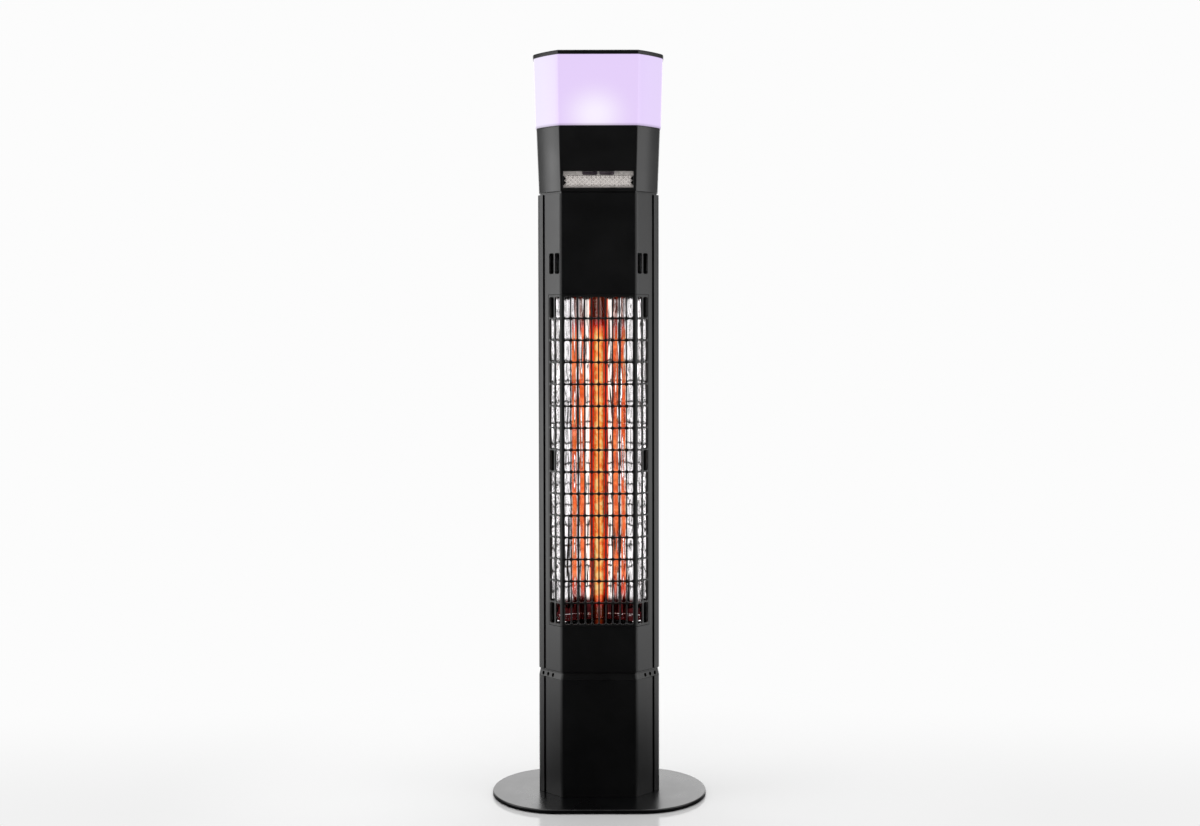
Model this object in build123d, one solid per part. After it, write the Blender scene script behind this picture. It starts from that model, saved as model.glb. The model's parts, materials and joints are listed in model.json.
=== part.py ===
from build123d import *
from math import atan, copysign, cos, degrees, radians, sin, sqrt, tan
import os

os.makedirs("parts", exist_ok=True)

# Infrared patio heater tower. Millimetres, +Z up, the front looks along -Y.
# The origin is on the floor, under the middle of the base plate.

# heights, from the floor up
pad_proud = 0.8
base_thickness = 5.2
lower_cover_height = 157.6
hairline = 0.3
collar_height = 7.6
shadow_gap = 2.0
upper_cover_height = 638.5
neck_gap = 2.8
speaker_height = 85.5
tray_flange = 1.0
lamp_height = 93.0
cap_thickness = 5.7

# plan of the column: a flattened octagon with 45 degree facets
column_width = 162.6
column_depth = 81.6
facet_leg = 30.8
front_corner_radius = 3.0
side_corner_radius = 5.0
wall = 2.0
fit_gap = 0.3
running_gap = 0.05

# plan of the head: the same octagon with bulging facets, drafted outwards to the top
facet_crown = 2.2
head_bottom_grow = -1.3
head_top_grow = 1.9
lamp_bottom_grow = 3.0
lamp_top_grow = 5.5
cap_grow = 6.4
cap_bevel = 1.5
skirt_depth = 6.0
head_front_radius = 2.5
head_side_radius = 12.0
head_wall = 2.5

# base plate, its pads and bolts, and the foot of the column
base_width = 290.0
base_depth = 182.0
base_edge_bevel = 1.4
pad_length = 44.0
pad_width = 12.0
pad_recess = 1.2
pad_x = 96.0
pad_y = 54.0
bolt_x = 54.0
bolt_radius = 3.0
bolt_head_height = 3.2
bolt_across_flats = 10.0
bolt_reach = 9.0
boss_wall = 3.0
foot_thickness = 4.0
sleeve_thickness = 2.0
sleeve_height = 12.0

# front covers' edge, and the shadow groove and lip behind it, along a facet
cover_edge = 30.1
cover_edge_bevel = 1.0
groove_width = 4.0
lip_overlap = 3.9
lip_thickness = 1.7

# guard grille
row_pitch = 29.2
row_count = 15
bar_height = 2.0
column_pitch = 9.25
column_count = 10
slot_width = 7.4
grille_bottom = 237.6
facet_slots = (6.4, 17.3)
facet_slot_width = 8.2
window_edge = 23.7
window_margin = 2.6
guard_flange = 2.0
guard_flange_thickness = 1.2
vent_row_skip = 2

# rear cover: screws and louvres
screw_x = 40.0
screw_from_end = 32.0
screw_radius = 1.7
screw_across_flats = 6.5
screw_head_height = 2.0
screw_post_wall = 2.5
louvre_rows = 6
louvre_pitch = 11.0
louvre_height = 4.5
louvre_half = 30.0
louvre_from_end = 56.0

# collar between the covers, and the neck under the head
collar_lean = 1.8
vent_width = 4.2
vent_height = 5.0
collar_vents = (17.3, 26.6, 35.9)
side_vent_y = 4.65
deck_thickness = 3.0
deck_hole_half = 30.0
deck_hole_depth = 28.0
neck_step = 3.0
floor_hole_half = (16.0, 11.0)

# heating section: sheet frame, reflector, quartz tube
sheet = 1.2
frame_from_rear = 15.0
frame_from_facet = 5.65
frame_front = -4.0
trough_from_front = 25.7
trough_from_facet = 4.8
trough_from_frame = 3.8
# the strips of half the reflector: where each ends, as a share of the frame, and its lean forwards
trough_strips = ((0.20, 10.0), (0.31, -20.0), (0.46, 21.0), (0.53, -15.0), (0.64, 28.5), (0.83, 20.0))
trough_side_lean = 30.0
reflector_thickness = 0.8
bottom_plate_inset = 3.6
top_plate_rise = 6.0
plate_from_front = 6.3
plate_from_facet = 6.6
plate_lip_x = 44.0
plate_waist = 19.5
plate_hole_air = 1.0
bracket_height = 30.0
bracket_foot = 14.0
bracket_toe = 3.8
bracket_ahead = 2.2
tube_y = -4.4
tube_radius = 6.0
tube_wall = 1.0
tube_overrun = 22.0
coil_radius = 2.4
coil_length = 380.0
tail_width = 3.0
tail_thickness = 0.6
cap_half = 8.0
cap_length = 26.0
cap_seat = 14.0
cap_corner = 1.5
holder_half = 14.0
holder_drop = 6.0
cutout_radius = 8.0
cutout_height = 6.0
cutout_from_side = 27.5
cutout_below_top = 190.0
cutout_ear = 12.0

# lower column: control board, terminal block, tip switch
# a part on the board: its middle from the board's middle, then its width, height and depth
post_half = 3.0
board_thickness = 1.6
board_half = 46.0
board_height = 58.0
board_below_deck = 3.6
board_from_wall = 11.2
board_hole_inset = 8.0
transformer = (-26.0, 3.0, 28.0, 24.0, 20.0)
relay = (13.0, 6.0, 18.0, 14.0, 15.0)
sockets = (8.0, -22.0, 32.0, 10.0, 11.0)
terminal_left = -14.0
terminal_pitch = 10.0
terminal_count = 3
terminal_depth = 12.0
terminal_height = 12.0
terminal_y = 20.0
clamp_half = 3.0
clamp_depth = 5.0
pendulum_x = -38.0
pendulum_length = 38.0
pendulum_clearance = 6.0
pendulum_swing_room = 7.0
bob_half = 7.0
bob_height = 14.0
bob_side_gap = 1.0
bracket_sheet = 2.0
pin_radius = 1.5
arm_half = 4.0

# rear of the lower column: rocker switch and cable gland
gland_height = 28.0
gland_half = 5.0
gland_flange_across = 15.0
gland_flange_height = 2.5
gland_bore_radius = 3.7
gland_wing = 1.5
rocker_above_gland = 40.0
rocker_half_width = 4.7
rocker_half_height = 6.4
rocker_crown = 5.7
rocker_dip = 1.1
rocker_root = 3.0
rocker_sink = 3.9
rocker_tilt = 10.0
rocker_air = 0.4
rocker_pin_radius = 1.0
switch_wall = 1.8
switch_depth = 15.0
bezel_margin = 2.5
bezel_height = 1.8
blade_reach = 7.0
blade_half = 2.4
blade_pitch = 5.0
blade_thickness = 0.8

# head: speaker behind its window, push buttons behind
window_from_corner = 4.0
window_low = 3.5
window_high = 26.4
mesh_overlap = 1.5
mesh_thickness = 0.8
lens_half = 10.0
lens_height = 4.6
lens_thickness = 1.4
lens_corner = 2.4
lens_x = 11.3
baffle_thickness = 1.6
driver_inset = 2.5
driver_apart = 4.0
driver_rim = 4.0
driver_depth = 9.0
magnet_half = 9.0
magnet_depth = 6.0
cone_half_height = 7.6
cone_depth = 4.5
cone_skin = 1.2
cone_set_back = 0.8
panel_low = 36.0
panel_height = 18.0
panel_half = 40.0
panel_thickness = 2.2
panel_leg = 8.0
panel_proud = 1.2
button_spacing = 18.0
button_half_width = 5.0
button_half_height = 3.4
button_proud = 1.2
button_flange = 1.2
button_stem = 3.2
button_travel = 1.0
button_count = 4
amplifier_post = 5.0
amplifier_half = 44.0
amplifier_front = -2.0
amplifier_from_rear = 6.8
sink_x = 18.0
sink_half = 10.0
sink_height = 8.0

# head: lamp
tray_depth = 5.0
led_board_half = 55.0
led_board_depth = 44.0
chip_half = 2.5
chip_height = 1.4
chip_columns = 4
chip_pitch = 28.0
chip_y = 12.0

# worked out from the sizes above
diagonal = sqrt(0.5)
corner_growth = tan(radians(22.5))
half_depth = column_depth / 2
front_half = column_width / 2 - facet_leg
facet_sum = column_width / 2 + half_depth - facet_leg

base_top = pad_proud + base_thickness
lower_top = base_top + lower_cover_height
collar_bottom = lower_top + hairline
collar_top = collar_bottom + collar_height
upper_bottom = collar_top + shadow_gap
upper_top = upper_bottom + upper_cover_height
head_bottom = upper_top + neck_gap
head_top = head_bottom + speaker_height
lamp_bottom = head_top + tray_flange
lamp_top = lamp_bottom + lamp_height

sleeve_outer = -(wall + fit_gap)
sleeve_inner = sleeve_outer - sleeve_thickness
rear_edge = cover_edge + groove_width
deck_bottom = lower_top - sleeve_height
floor_top = base_top + foot_thickness

slot_height = row_pitch - bar_height
grille_top = grille_bottom + row_pitch * row_count
window_bottom = grille_bottom - window_margin
window_top = grille_top + window_margin
plate_bottom = grille_bottom + bottom_plate_inset
plate_top = grille_top + top_plate_rise

frame_back = half_depth - frame_from_rear
frame_half = facet_sum - frame_from_facet / diagonal - frame_back
trough_front = -half_depth + trough_from_front
trough_back = frame_back - trough_from_frame
trough_half = facet_sum - trough_from_facet / diagonal + trough_front
cutout_x = frame_half - cutout_from_side
tube_middle = (grille_bottom + grille_top) / 2
tube_half = (grille_top - grille_bottom) / 2 + tube_overrun

board_face = half_depth - wall - board_from_wall
board_top = deck_bottom - board_below_deck
pendulum_z = floor_top + bracket_sheet + pendulum_clearance + pendulum_length
gland_z = base_top + gland_height
rocker_z = gland_z + rocker_above_gland
rocker_y = half_depth - rocker_sink

window_half = front_half - window_from_corner
driver_x = (window_half - driver_inset + driver_apart / 2) / 2
cone_half_length = driver_x - driver_apart / 2 - driver_rim
mesh_face = -(half_depth + head_bottom_grow) + head_wall + fit_gap
mesh_top = head_bottom + window_high + 2 * mesh_overlap
baffle_face = mesh_face + mesh_thickness + fit_gap
driver_face = baffle_face + baffle_thickness
speaker_middle = head_bottom + (window_low + window_high) / 2
panel_face = half_depth + head_bottom_grow + panel_proud
panel_back = panel_face - panel_thickness
button_z = head_bottom + panel_low + panel_height / 2


# shared shapes
def block(x, y, z):
    # a box between a low and a high value on each axis
    spans = (x, y, z)
    middle = [(low + high) / 2 for low, high in spans]
    size = [high - low for low, high in spans]
    return Pos(*middle) * Box(*size)


def around(middle, half):
    return (middle - half, middle + half)


def both_sides(shape):
    return shape + mirror(shape, about=Plane.YZ)


def corners(grow):
    # the corners of the octagon, moved outwards by grow on every side
    width = column_width / 2 + grow
    depth = half_depth + grow
    front = front_half + grow * corner_growth
    side = half_depth - facet_leg + grow * corner_growth
    right = [(front, -depth), (width, -side), (width, side), (front, depth)]
    return right + [(-x, y) for x, y in reversed(right)]


def sharp_plan(grow):
    return Polygon(*corners(grow), align=None)


def rounded(outline, front_radius, side_radius):
    side_corners = outline.vertices().group_by(Axis.X)
    outline = fillet(side_corners[0] + side_corners[-1], side_radius)
    front_corners = outline.vertices().group_by(Axis.Y)
    return fillet(front_corners[0] + front_corners[-1], front_radius)


def plan(grow=0.0):
    return rounded(sharp_plan(grow), front_corner_radius + grow, side_corner_radius + grow)


def crowned_plan(grow):
    # the octagon with facets that bulge a little
    outline = []
    points = corners(grow)
    for start, end in zip(points, points[1:] + points[:1]):
        if start[0] == end[0] or start[1] == end[1]:
            outline.append(Line(start, end))
        else:
            middle = Vector((start[0] + end[0]) / 2, (start[1] + end[1]) / 2)
            outward = Vector(copysign(diagonal, middle.X), copysign(diagonal, middle.Y))
            outline.append(ThreePointArc(start, middle + outward * facet_crown, end))
    return make_face(outline)


def head_plan(grow):
    return rounded(crowned_plan(grow), head_front_radius + grow, head_side_radius + grow)


def raised(bottom, top, face):
    return Pos(0, 0, bottom) * extrude(face, amount=top - bottom)


def slab(bottom, top, grow):
    return raised(bottom, top, sharp_plan(grow))


def ring(bottom, top, outer, inner):
    return raised(bottom, top, sharp_plan(outer) - sharp_plan(inner))


def flared(bottom, top, low_grow, high_grow, shape):
    # drafted from one size of the outline to another
    height = top - bottom
    draft = degrees(atan((low_grow - high_grow) / height))
    return Pos(0, 0, bottom) * extrude(shape(low_grow), amount=height, taper=draft)


def bent_sheet(points, thickness, side, bottom, top):
    # an upright strip of sheet metal bent along these points
    outline = offset(Polyline(*points), amount=thickness, side=side, kind=Kind.INTERSECTION)
    return raised(bottom, top, make_face(outline.edges()))


def on_facet(along, depth):
    # a point on the right front facet: its distance from the corner, and its depth
    return (front_half + (along - depth) * diagonal, -half_depth + (along + depth) * diagonal)


def front_part(edge, bottom, top):
    # everything in front of two cuts square to the facets, at this distance along them
    outside = on_facet(edge, -wall)
    inside = on_facet(edge, facet_leg / 2)
    right = [(outside[0], -column_depth), outside, inside]
    left = [(-x, y) for x, y in reversed(right)]
    return raised(bottom, top, Polygon(*right, *left, align=None))


def cut_corners(width, height, corner):
    return chamfer(Rectangle(width, height).vertices(), corner)


def facet_hole(shape, along, height):
    # a hole square to the right front facet
    origin = (*on_facet(along, -wall), height)
    place = Plane(origin=origin, x_dir=(diagonal, diagonal, 0), z_dir=(-diagonal, diagonal, 0))
    return extrude(place * shape, amount=4 * wall)


def cylinder_x(radius, left, right, y=0.0, z=0.0):
    return Pos((left + right) / 2, y, z) * Rot(0, 90, 0) * Cylinder(radius, right - left)


def cylinder_y(radius, front, back, x=0.0, z=0.0):
    return Pos(x, (front + back) / 2, z) * Rot(90, 0, 0) * Cylinder(radius, back - front)


def cylinder_z(radius, bottom, top, x=0.0, y=0.0):
    return Pos(x, y, (bottom + top) / 2) * Cylinder(radius, top - bottom)


def hexagon(across_flats):
    return RegularPolygon(across_flats / 2, 6, major_radius=False)


# base
def pad_places():
    return [(x, y) for x in (-pad_x, pad_x) for y in (-pad_y, pad_y)]


def make_base_plate():
    plate = raised(pad_proud, base_top, SlotOverall(base_width, base_depth))
    plate = chamfer(plate.edges().group_by(Axis.Z)[-1], base_edge_bevel)
    for x, y in pad_places():
        plate -= Pos(x, y, pad_proud) * Box(pad_length, pad_width, 2 * pad_recess)
    pocket_top = pad_proud + bolt_head_height
    pocket = raised(pad_proud, pocket_top, hexagon(bolt_across_flats + 2 * fit_gap))
    for x in (-bolt_x, bolt_x):
        plate -= Pos(x, 0, 0) * pocket
        plate -= cylinder_z(bolt_radius + fit_gap, pocket_top, base_top, x)
    return plate


def make_base_pads():
    height = pad_proud + pad_recess
    pad = Box(pad_length - fit_gap, pad_width - fit_gap, height)
    return [Pos(x, y, height / 2) * pad for x, y in pad_places()]


def make_base_bolts():
    head_top = pad_proud + bolt_head_height
    head = raised(pad_proud, head_top, hexagon(bolt_across_flats))
    bolt = head + cylinder_z(bolt_radius, head_top, base_top + bolt_reach)
    return [Pos(x, 0, 0) * bolt for x in (-bolt_x, bolt_x)]


def make_column_foot():
    foot = slab(base_top, floor_top, sleeve_outer)
    foot += ring(base_top, base_top + sleeve_height, sleeve_outer, sleeve_inner)
    boss = bolt_radius + boss_wall
    hole_top = base_top + bolt_reach + 2 * fit_gap
    for x in (-bolt_x, bolt_x):
        foot += block(around(x, boss), (-boss, boss), (base_top, hole_top + boss_wall))
        foot -= cylinder_z(bolt_radius + running_gap, base_top, hole_top, x)
    return foot


# column covers
def bevelled_skin(bottom, top, bevel):
    # the outer wall, with a bevel round the outside of its lower end when one is asked for
    body = raised(bottom, top, plan())
    if bevel > 0:
        body = chamfer(body.edges().group_by(Axis.Z)[0], bevel)
    return body - slab(bottom, top, -wall)


def front_shell(bottom, top, bevel=0.0):
    return bevelled_skin(bottom, top, bevel) & front_part(cover_edge, bottom, top)


def rear_shell(bottom, top, bevel=0.0):
    # the rear wall, with a lip that reaches under the front cover's edges
    shell = bevelled_skin(bottom, top, bevel) - front_part(rear_edge, bottom, top)
    low = bottom + sleeve_height + fit_gap
    high = top - sleeve_height - fit_gap
    behind = sleeve_outer - lip_thickness
    under = front_part(rear_edge + wall, low, high) - front_part(cover_edge - lip_overlap, low, high)
    root = front_part(rear_edge + 2 * wall, low, high) - front_part(rear_edge, low, high)
    lip = ring(low, high, sleeve_outer, behind) & under
    return shell + (ring(low, high, -wall / 2, behind) & root) + lip


def screw_places():
    heights = (upper_bottom + screw_from_end, upper_top - screw_from_end)
    return [(x, z) for x in (-screw_x, screw_x) for z in heights]


def wall_hole(half_x, z, half_z, x=0.0):
    # a square hole through the rear wall
    return block(around(x, half_x), (half_depth - 2 * wall, half_depth + wall), around(z, half_z))


def make_lower_front_cover():
    return front_shell(base_top, lower_top)


def board_posts():
    x = board_half - board_hole_inset
    heights = (board_top - board_height + board_hole_inset, board_top - board_hole_inset)
    return [(side, z) for side in (-x, x) for z in heights]


def make_lower_rear_cover():
    cover = rear_shell(base_top, lower_top)
    for x, z in board_posts():
        span = (board_face, half_depth - wall / 2)
        cover += block(around(x, post_half), span, around(z, post_half))
    half_width, half_height = switch_case()
    cover -= wall_hole(half_width + fit_gap, rocker_z, half_height + fit_gap)
    return cover - wall_hole(gland_half + fit_gap, gland_z, gland_half + fit_gap)


def make_upper_front_cover():
    cover = front_shell(upper_bottom, upper_top, cover_edge_bevel)
    cover -= front_part(window_edge, window_bottom, window_top)
    vent = Rectangle(facet_slot_width, slot_height)
    middle = grille_top - row_pitch / 2 + vent_row_skip * row_pitch
    for along in facet_slots:
        cover -= both_sides(facet_hole(vent, along, middle))
    return cover


def make_guard_grille():
    # a folded panel flush in the cover's window, with a flange behind the window's edge
    low, high = window_bottom + fit_gap, window_top - fit_gap
    back = sleeve_outer - guard_flange_thickness
    panel = bevelled_skin(low, high, 0) & front_part(window_edge - fit_gap, low, high)
    rim = ring(low, high, -wall / 2, back) & front_part(window_edge - fit_gap, low, high)
    flange_low, flange_high = window_bottom - guard_flange, window_top + guard_flange
    flange = ring(flange_low, flange_high, sleeve_outer, back)
    flange &= front_part(window_edge + guard_flange, flange_low, flange_high)
    edge = window_margin / 2
    opening = front_part(window_edge - window_margin, window_bottom + edge, window_top - edge)
    return panel + (flange + rim - opening) - grille_slots()


def grille_slots():
    front = extrude(Plane.XZ * Rectangle(slot_width, slot_height), amount=2 * wall)
    side = Rectangle(facet_slot_width, slot_height)
    slots = []
    for row in range(row_count):
        z = grille_bottom + row_pitch * (row + 0.5)
        for column in range(column_count):
            x = column_pitch * (column - (column_count - 1) / 2)
            slots.append(Pos(x, -half_depth + 1.5 * wall, z) * front)
        for along in facet_slots:
            hole = facet_hole(side, along, z)
            slots += [hole, mirror(hole, about=Plane.YZ)]
    return slots


def make_upper_rear_cover():
    cover = rear_shell(upper_bottom, upper_top, cover_edge_bevel)
    hole = screw_radius + fit_gap
    post = hole + screw_post_wall
    for x, z in screw_places():
        cover += block(around(x, post), (frame_back + fit_gap, half_depth - wall / 2), around(z, post))
        cover -= block(around(x, hole), (frame_back, half_depth), around(z, hole))
    lowest = upper_bottom + louvre_from_end
    highest = upper_top - louvre_from_end
    for row in range(louvre_rows):
        for z in (lowest + row * louvre_pitch, highest - row * louvre_pitch):
            cover -= wall_hole(louvre_half, z, louvre_height / 2)
    return cover


def make_cover_screws():
    tip = frame_back - 2 * sheet
    head = extrude(Plane.XZ * hexagon(screw_across_flats), amount=-screw_head_height)
    shank = extrude(Plane.XZ * RegularPolygon(screw_radius, 6), amount=half_depth - tip)
    return [Pos(x, half_depth, z) * (head + shank) for x, z in screw_places()]


# collar and neck
def make_collar():
    band = flared(collar_bottom, collar_top, 0, -collar_lean, plan)
    sleeves = slab(deck_bottom, upper_bottom + sleeve_height, sleeve_outer)
    hollow = slab(deck_bottom + deck_thickness, upper_bottom + sleeve_height, sleeve_inner)
    half = deck_hole_depth / 2
    hole = block((-deck_hole_half, deck_hole_half), (-half, half), (deck_bottom, collar_top))
    return band + sleeves - hollow - hole - collar_holes()


def collar_holes():
    middle = (collar_bottom + collar_top) / 2
    shape = Rectangle(vent_width, vent_height)
    holes = []
    for along in collar_vents:
        hole = facet_hole(shape, along, middle)
        pair = [hole, mirror(hole, about=Plane.YZ)]
        holes += pair + [mirror(item, about=Plane.XZ) for item in pair]
    through = extrude(Plane.YZ * shape, amount=column_width, both=True)
    return holes + [Pos(0, y, middle) * through for y in (-side_vent_y, side_vent_y)]


def make_head_floor():
    floor = ring(upper_top - sleeve_height, upper_top, sleeve_outer, sleeve_inner)
    floor += slab(upper_top, head_bottom, -neck_step)
    inset = post_half + board_hole_inset / 2
    rear = half_depth - amplifier_from_rear - inset
    for x in (-amplifier_half + inset, amplifier_half - inset):
        for y in (amplifier_front + inset, rear):
            post = (upper_top, head_bottom + amplifier_post)
            floor += block(around(x, post_half), around(y, post_half), post)
    half_x, half_y = floor_hole_half
    return floor - block((-half_x, half_x), (-half_y, half_y), (upper_top, head_bottom))


# heating section
def make_inner_frame():
    # an upright channel from the collar's deck to the head's floor
    left = [(-frame_half, frame_front), (-frame_half, frame_back)]
    right = [(-x, y) for x, y in reversed(left)]
    frame = bent_sheet(left + right, sheet, Side.RIGHT, deck_bottom + deck_thickness, upper_top)
    hole = screw_radius + fit_gap
    for x, z in screw_places():
        frame -= block(around(x, hole), around(frame_back, 2 * sheet), around(z, hole))
    return frame


def bracket_middles():
    # the lowest, the middle and the highest row of slots
    rows = (0, row_count // 2, row_count - 1)
    return [grille_bottom + row_pitch * (row + 0.5) for row in rows]


def reflector_folds():
    # strips that lean towards the tube, with others between them that lean away from it
    side = frame_half - sheet - fit_gap - reflector_thickness
    folds = [(0, trough_back)]
    strips = [(share * frame_half, lean) for share, lean in trough_strips]
    for end, lean in strips + [(side, trough_side_lean)]:
        x, y = folds[-1]
        folds.append((end, y - (end - x) * tan(radians(lean))))
    folds += [(side, frame_front - 2 * reflector_thickness), (trough_half, trough_front)]
    return folds


def make_reflector():
    # folded into upright strips, and wrapped round the frame's front edges
    right = reflector_folds()
    left = [(-x, y) for x, y in reversed(right[1:])]
    body = bent_sheet(left + right, reflector_thickness, Side.LEFT, plate_bottom, plate_top)
    for z in bracket_middles():
        outer = (frame_half - fit_gap, trough_half + wall)
        notch = block(outer, (trough_front - wall, frame_back), around(z, bracket_height / 2 + fit_gap))
        body -= both_sides(notch)
    return body


def end_plate(bottom):
    # a flat plate across the end of the trough, hollowed at its front, with a hole for the tube
    lip_y = -half_depth + plate_from_front
    side = frame_half - sheet - fit_gap
    side_y = side - facet_sum + plate_from_facet / diagonal
    back = frame_back - sheet - fit_gap
    hollow = ThreePointArc((-plate_lip_x, lip_y), (0, lip_y + plate_waist), (plate_lip_x, lip_y))
    right = [(plate_lip_x, lip_y), (side, side_y), (side, back)]
    left = [(-x, y) for x, y in reversed(right)]
    face = make_face(hollow.edges() + Polyline(*right, *left).edges())
    hole = Pos(0, tube_y) * Circle(tube_radius + plate_hole_air)
    return raised(bottom, bottom + sheet, face - hole)


def make_reflector_brackets():
    # each stands on the frame's side and reaches forward to the reflector's edge
    inner = frame_half + fit_gap
    elbow = frame_front + sheet
    arm = trough_half - bracket_toe - sheet
    toe_y = trough_front - bracket_ahead
    path = [(inner, elbow + bracket_foot), (inner, elbow), (arm, elbow)]
    path += [(arm, toe_y), (arm + bracket_toe, toe_y)]
    brackets = []
    for z in bracket_middles():
        low, high = around(z, bracket_height / 2)
        bracket = bent_sheet(path, sheet, Side.LEFT, low, high)
        brackets += [bracket, mirror(bracket, about=Plane.YZ)]
    return brackets


def at_both_ends(piece):
    # the piece at the tube's lower end, and its mirror image at the upper end
    return [piece, Pos(0, 0, 2 * tube_middle) * mirror(piece, about=Plane.XY)]


def make_quartz_tube():
    tube = Cylinder(tube_radius, 2 * tube_half) - Cylinder(tube_radius - tube_wall, 2 * tube_half)
    return Pos(0, tube_y, tube_middle) * tube


def make_heating_coil():
    coil = Cylinder(coil_radius, coil_length) + Box(tail_width, tail_thickness, 2 * tube_half)
    return Pos(0, tube_y, tube_middle) * coil


def make_tube_end_caps():
    seat_top = tube_middle - tube_half + cap_seat
    outline = cut_corners(2 * cap_half, 2 * cap_half, cap_corner)
    cap = raised(seat_top - cap_length, seat_top, outline)
    cap -= cylinder_z(tube_radius + running_gap, seat_top - cap_seat, seat_top)
    return at_both_ends(Pos(0, tube_y, 0) * cap)


def make_tube_holders():
    # a bent strip from the frame's back to the end cap, with a hole that the cap sits in
    shelf = tube_middle - tube_half - holder_drop
    back = frame_back - sheet - fit_gap
    path = [(tube_y - cap_half - 2 * sheet, shelf), (back, shelf), (back, shelf - holder_half)]
    strip = bent_sheet(path, sheet, Side.RIGHT, -holder_half, holder_half)
    strip = Rot(0, 90, 0) * Rot(0, 0, 90) * strip
    hole = cap_half + fit_gap
    strip -= block((-hole, hole), around(tube_y, hole), around(shelf, 2 * sheet))
    return at_both_ends(strip)


def make_thermal_cutout():
    z = upper_top - cutout_below_top
    face = frame_back + running_gap
    top = face + cutout_height
    cutout = cylinder_y(cutout_radius, face, top, cutout_x, z)
    cutout += block(around(cutout_x, cutout_ear), (face, face + sheet), around(z, cutout_radius / 2))
    half = cutout_radius / 2
    for x in (cutout_x - half, cutout_x + half):
        cutout += block(around(x, sheet), (top - sheet, top + half), around(z, half))
    return cutout


# lower column: board, terminals, tip switch
def make_control_board():
    depth = (board_face - board_thickness, board_face)
    return block((-board_half, board_half), depth, (board_top - board_height, board_top))


def make_board_parts():
    # a transformer, a relay and a row of plug sockets along the lower edge
    face = board_face - board_thickness
    parts = []
    for x, z, width, height, depth in (transformer, relay, sockets):
        middle = board_top - board_height / 2 + z
        parts.append(block(around(x, width / 2), (face - depth, face), around(middle, height / 2)))
    return parts


def make_terminal_block():
    top = floor_top + terminal_height
    right = terminal_left + terminal_count * terminal_pitch
    body = block((terminal_left, right), around(terminal_y, terminal_depth / 2), (floor_top, top))
    for place in range(terminal_count):
        x = terminal_left + (place + 0.5) * terminal_pitch
        front = terminal_y - terminal_depth / 2
        body -= block(around(x, clamp_half), (front, front + clamp_depth), (top - clamp_depth, top))
    return body


def make_tip_switch_bracket():
    # a bent strip with two cheeks that carry the pendulum's pin
    top = pendulum_z + 2 * arm_half
    half = pendulum_swing_room
    path = [(-half, top), (-half, floor_top), (half, floor_top), (half, top)]
    strip = bent_sheet(path, bracket_sheet, Side.LEFT, -bob_half, bob_half)
    strip = Rot(90, 0, 0) * strip
    pin_half = half - bracket_sheet / 2
    return Pos(pendulum_x, 0, 0) * (strip + cylinder_x(pin_radius, -pin_half, pin_half, 0, pendulum_z))


def make_tip_switch_pendulum():
    low = pendulum_z - pendulum_length
    half = bracket_sheet
    arm = block((-half, half), (-arm_half, arm_half), (low + bob_height / 2, pendulum_z + arm_half))
    bob_x = pendulum_swing_room - bracket_sheet - bob_side_gap
    bob = block((-bob_x, bob_x), (-bob_half, bob_half), (low, low + bob_height))
    arm -= cylinder_x(pin_radius + running_gap, -half, half, 0, pendulum_z)
    return Pos(pendulum_x, 0, 0) * (arm + bob)


# rear of the lower column: rocker switch and cable gland
def rocker_reach():
    # how far the tilted rocker reaches up and back from its pin
    lean = radians(rocker_tilt)
    up = rocker_half_height * cos(lean) + rocker_crown * sin(lean)
    back = rocker_root * cos(lean) + rocker_half_height * sin(lean)
    return up + 2 * rocker_air, back + rocker_air


def switch_case():
    return rocker_half_width + fit_gap + switch_wall, rocker_reach()[0] + switch_wall


def make_power_switch_body():
    half_width, half_height = switch_case()
    face = half_depth + bezel_height
    bezel_x, bezel_z = half_width + bezel_margin, half_height + bezel_margin
    bezel = block((-bezel_x, bezel_x), (half_depth, face), around(rocker_z, bezel_z))
    bezel = chamfer(bezel.edges().group_by(Axis.Y)[-1], bezel_height / 3)
    blade_back = half_depth - switch_depth
    body = bezel + block((-half_width, half_width), (blade_back, half_depth), around(rocker_z, half_height))
    reach_up, reach_back = rocker_reach()
    open_half = rocker_half_width + fit_gap
    body -= block((-open_half, open_half), (rocker_y - reach_back, face), around(rocker_z, reach_up))
    bore_half = half_width - 2 * fit_gap
    body -= cylinder_x(rocker_pin_radius + running_gap, -bore_half, bore_half, rocker_y, rocker_z)
    for z in (rocker_z - blade_pitch, rocker_z, rocker_z + blade_pitch):
        depth = (blade_back - blade_reach, blade_back)
        body += block((-blade_half, blade_half), depth, around(z, blade_thickness / 2))
    return body


def make_power_rocker():
    profile = Polygon(
        (-rocker_root, -rocker_half_height),
        (rocker_crown, -rocker_half_height),
        (rocker_crown - rocker_dip, 0),
        (rocker_crown, rocker_half_height),
        (-rocker_root, rocker_half_height),
        align=None,
    )
    rocker = extrude(Plane.YZ * profile, amount=rocker_half_width, both=True)
    pin_half = switch_case()[0] - 3 * fit_gap
    rocker += cylinder_x(rocker_pin_radius, -pin_half, pin_half)
    return Pos(0, rocker_y, rocker_z) * Rot(rocker_tilt, 0, 0) * rocker


def make_cable_gland():
    # a snap-in bush: its wings hold it behind the wall, its hexagon flange lies outside
    inner_face = half_depth - wall - fit_gap
    root = inner_face - gland_half
    gland = block((-gland_half, gland_half), (root, half_depth), around(gland_z, gland_half))
    wing = gland_half + gland_wing
    gland += block((-wing, wing), (root + gland_wing, inner_face), around(gland_z, gland_half / 2))
    flange = extrude(Plane.XZ * hexagon(gland_flange_across), amount=-gland_flange_height)
    gland += Pos(0, half_depth, gland_z) * flange
    return gland - cylinder_y(gland_bore_radius, root, half_depth + gland_flange_height, 0, gland_z)


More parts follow.
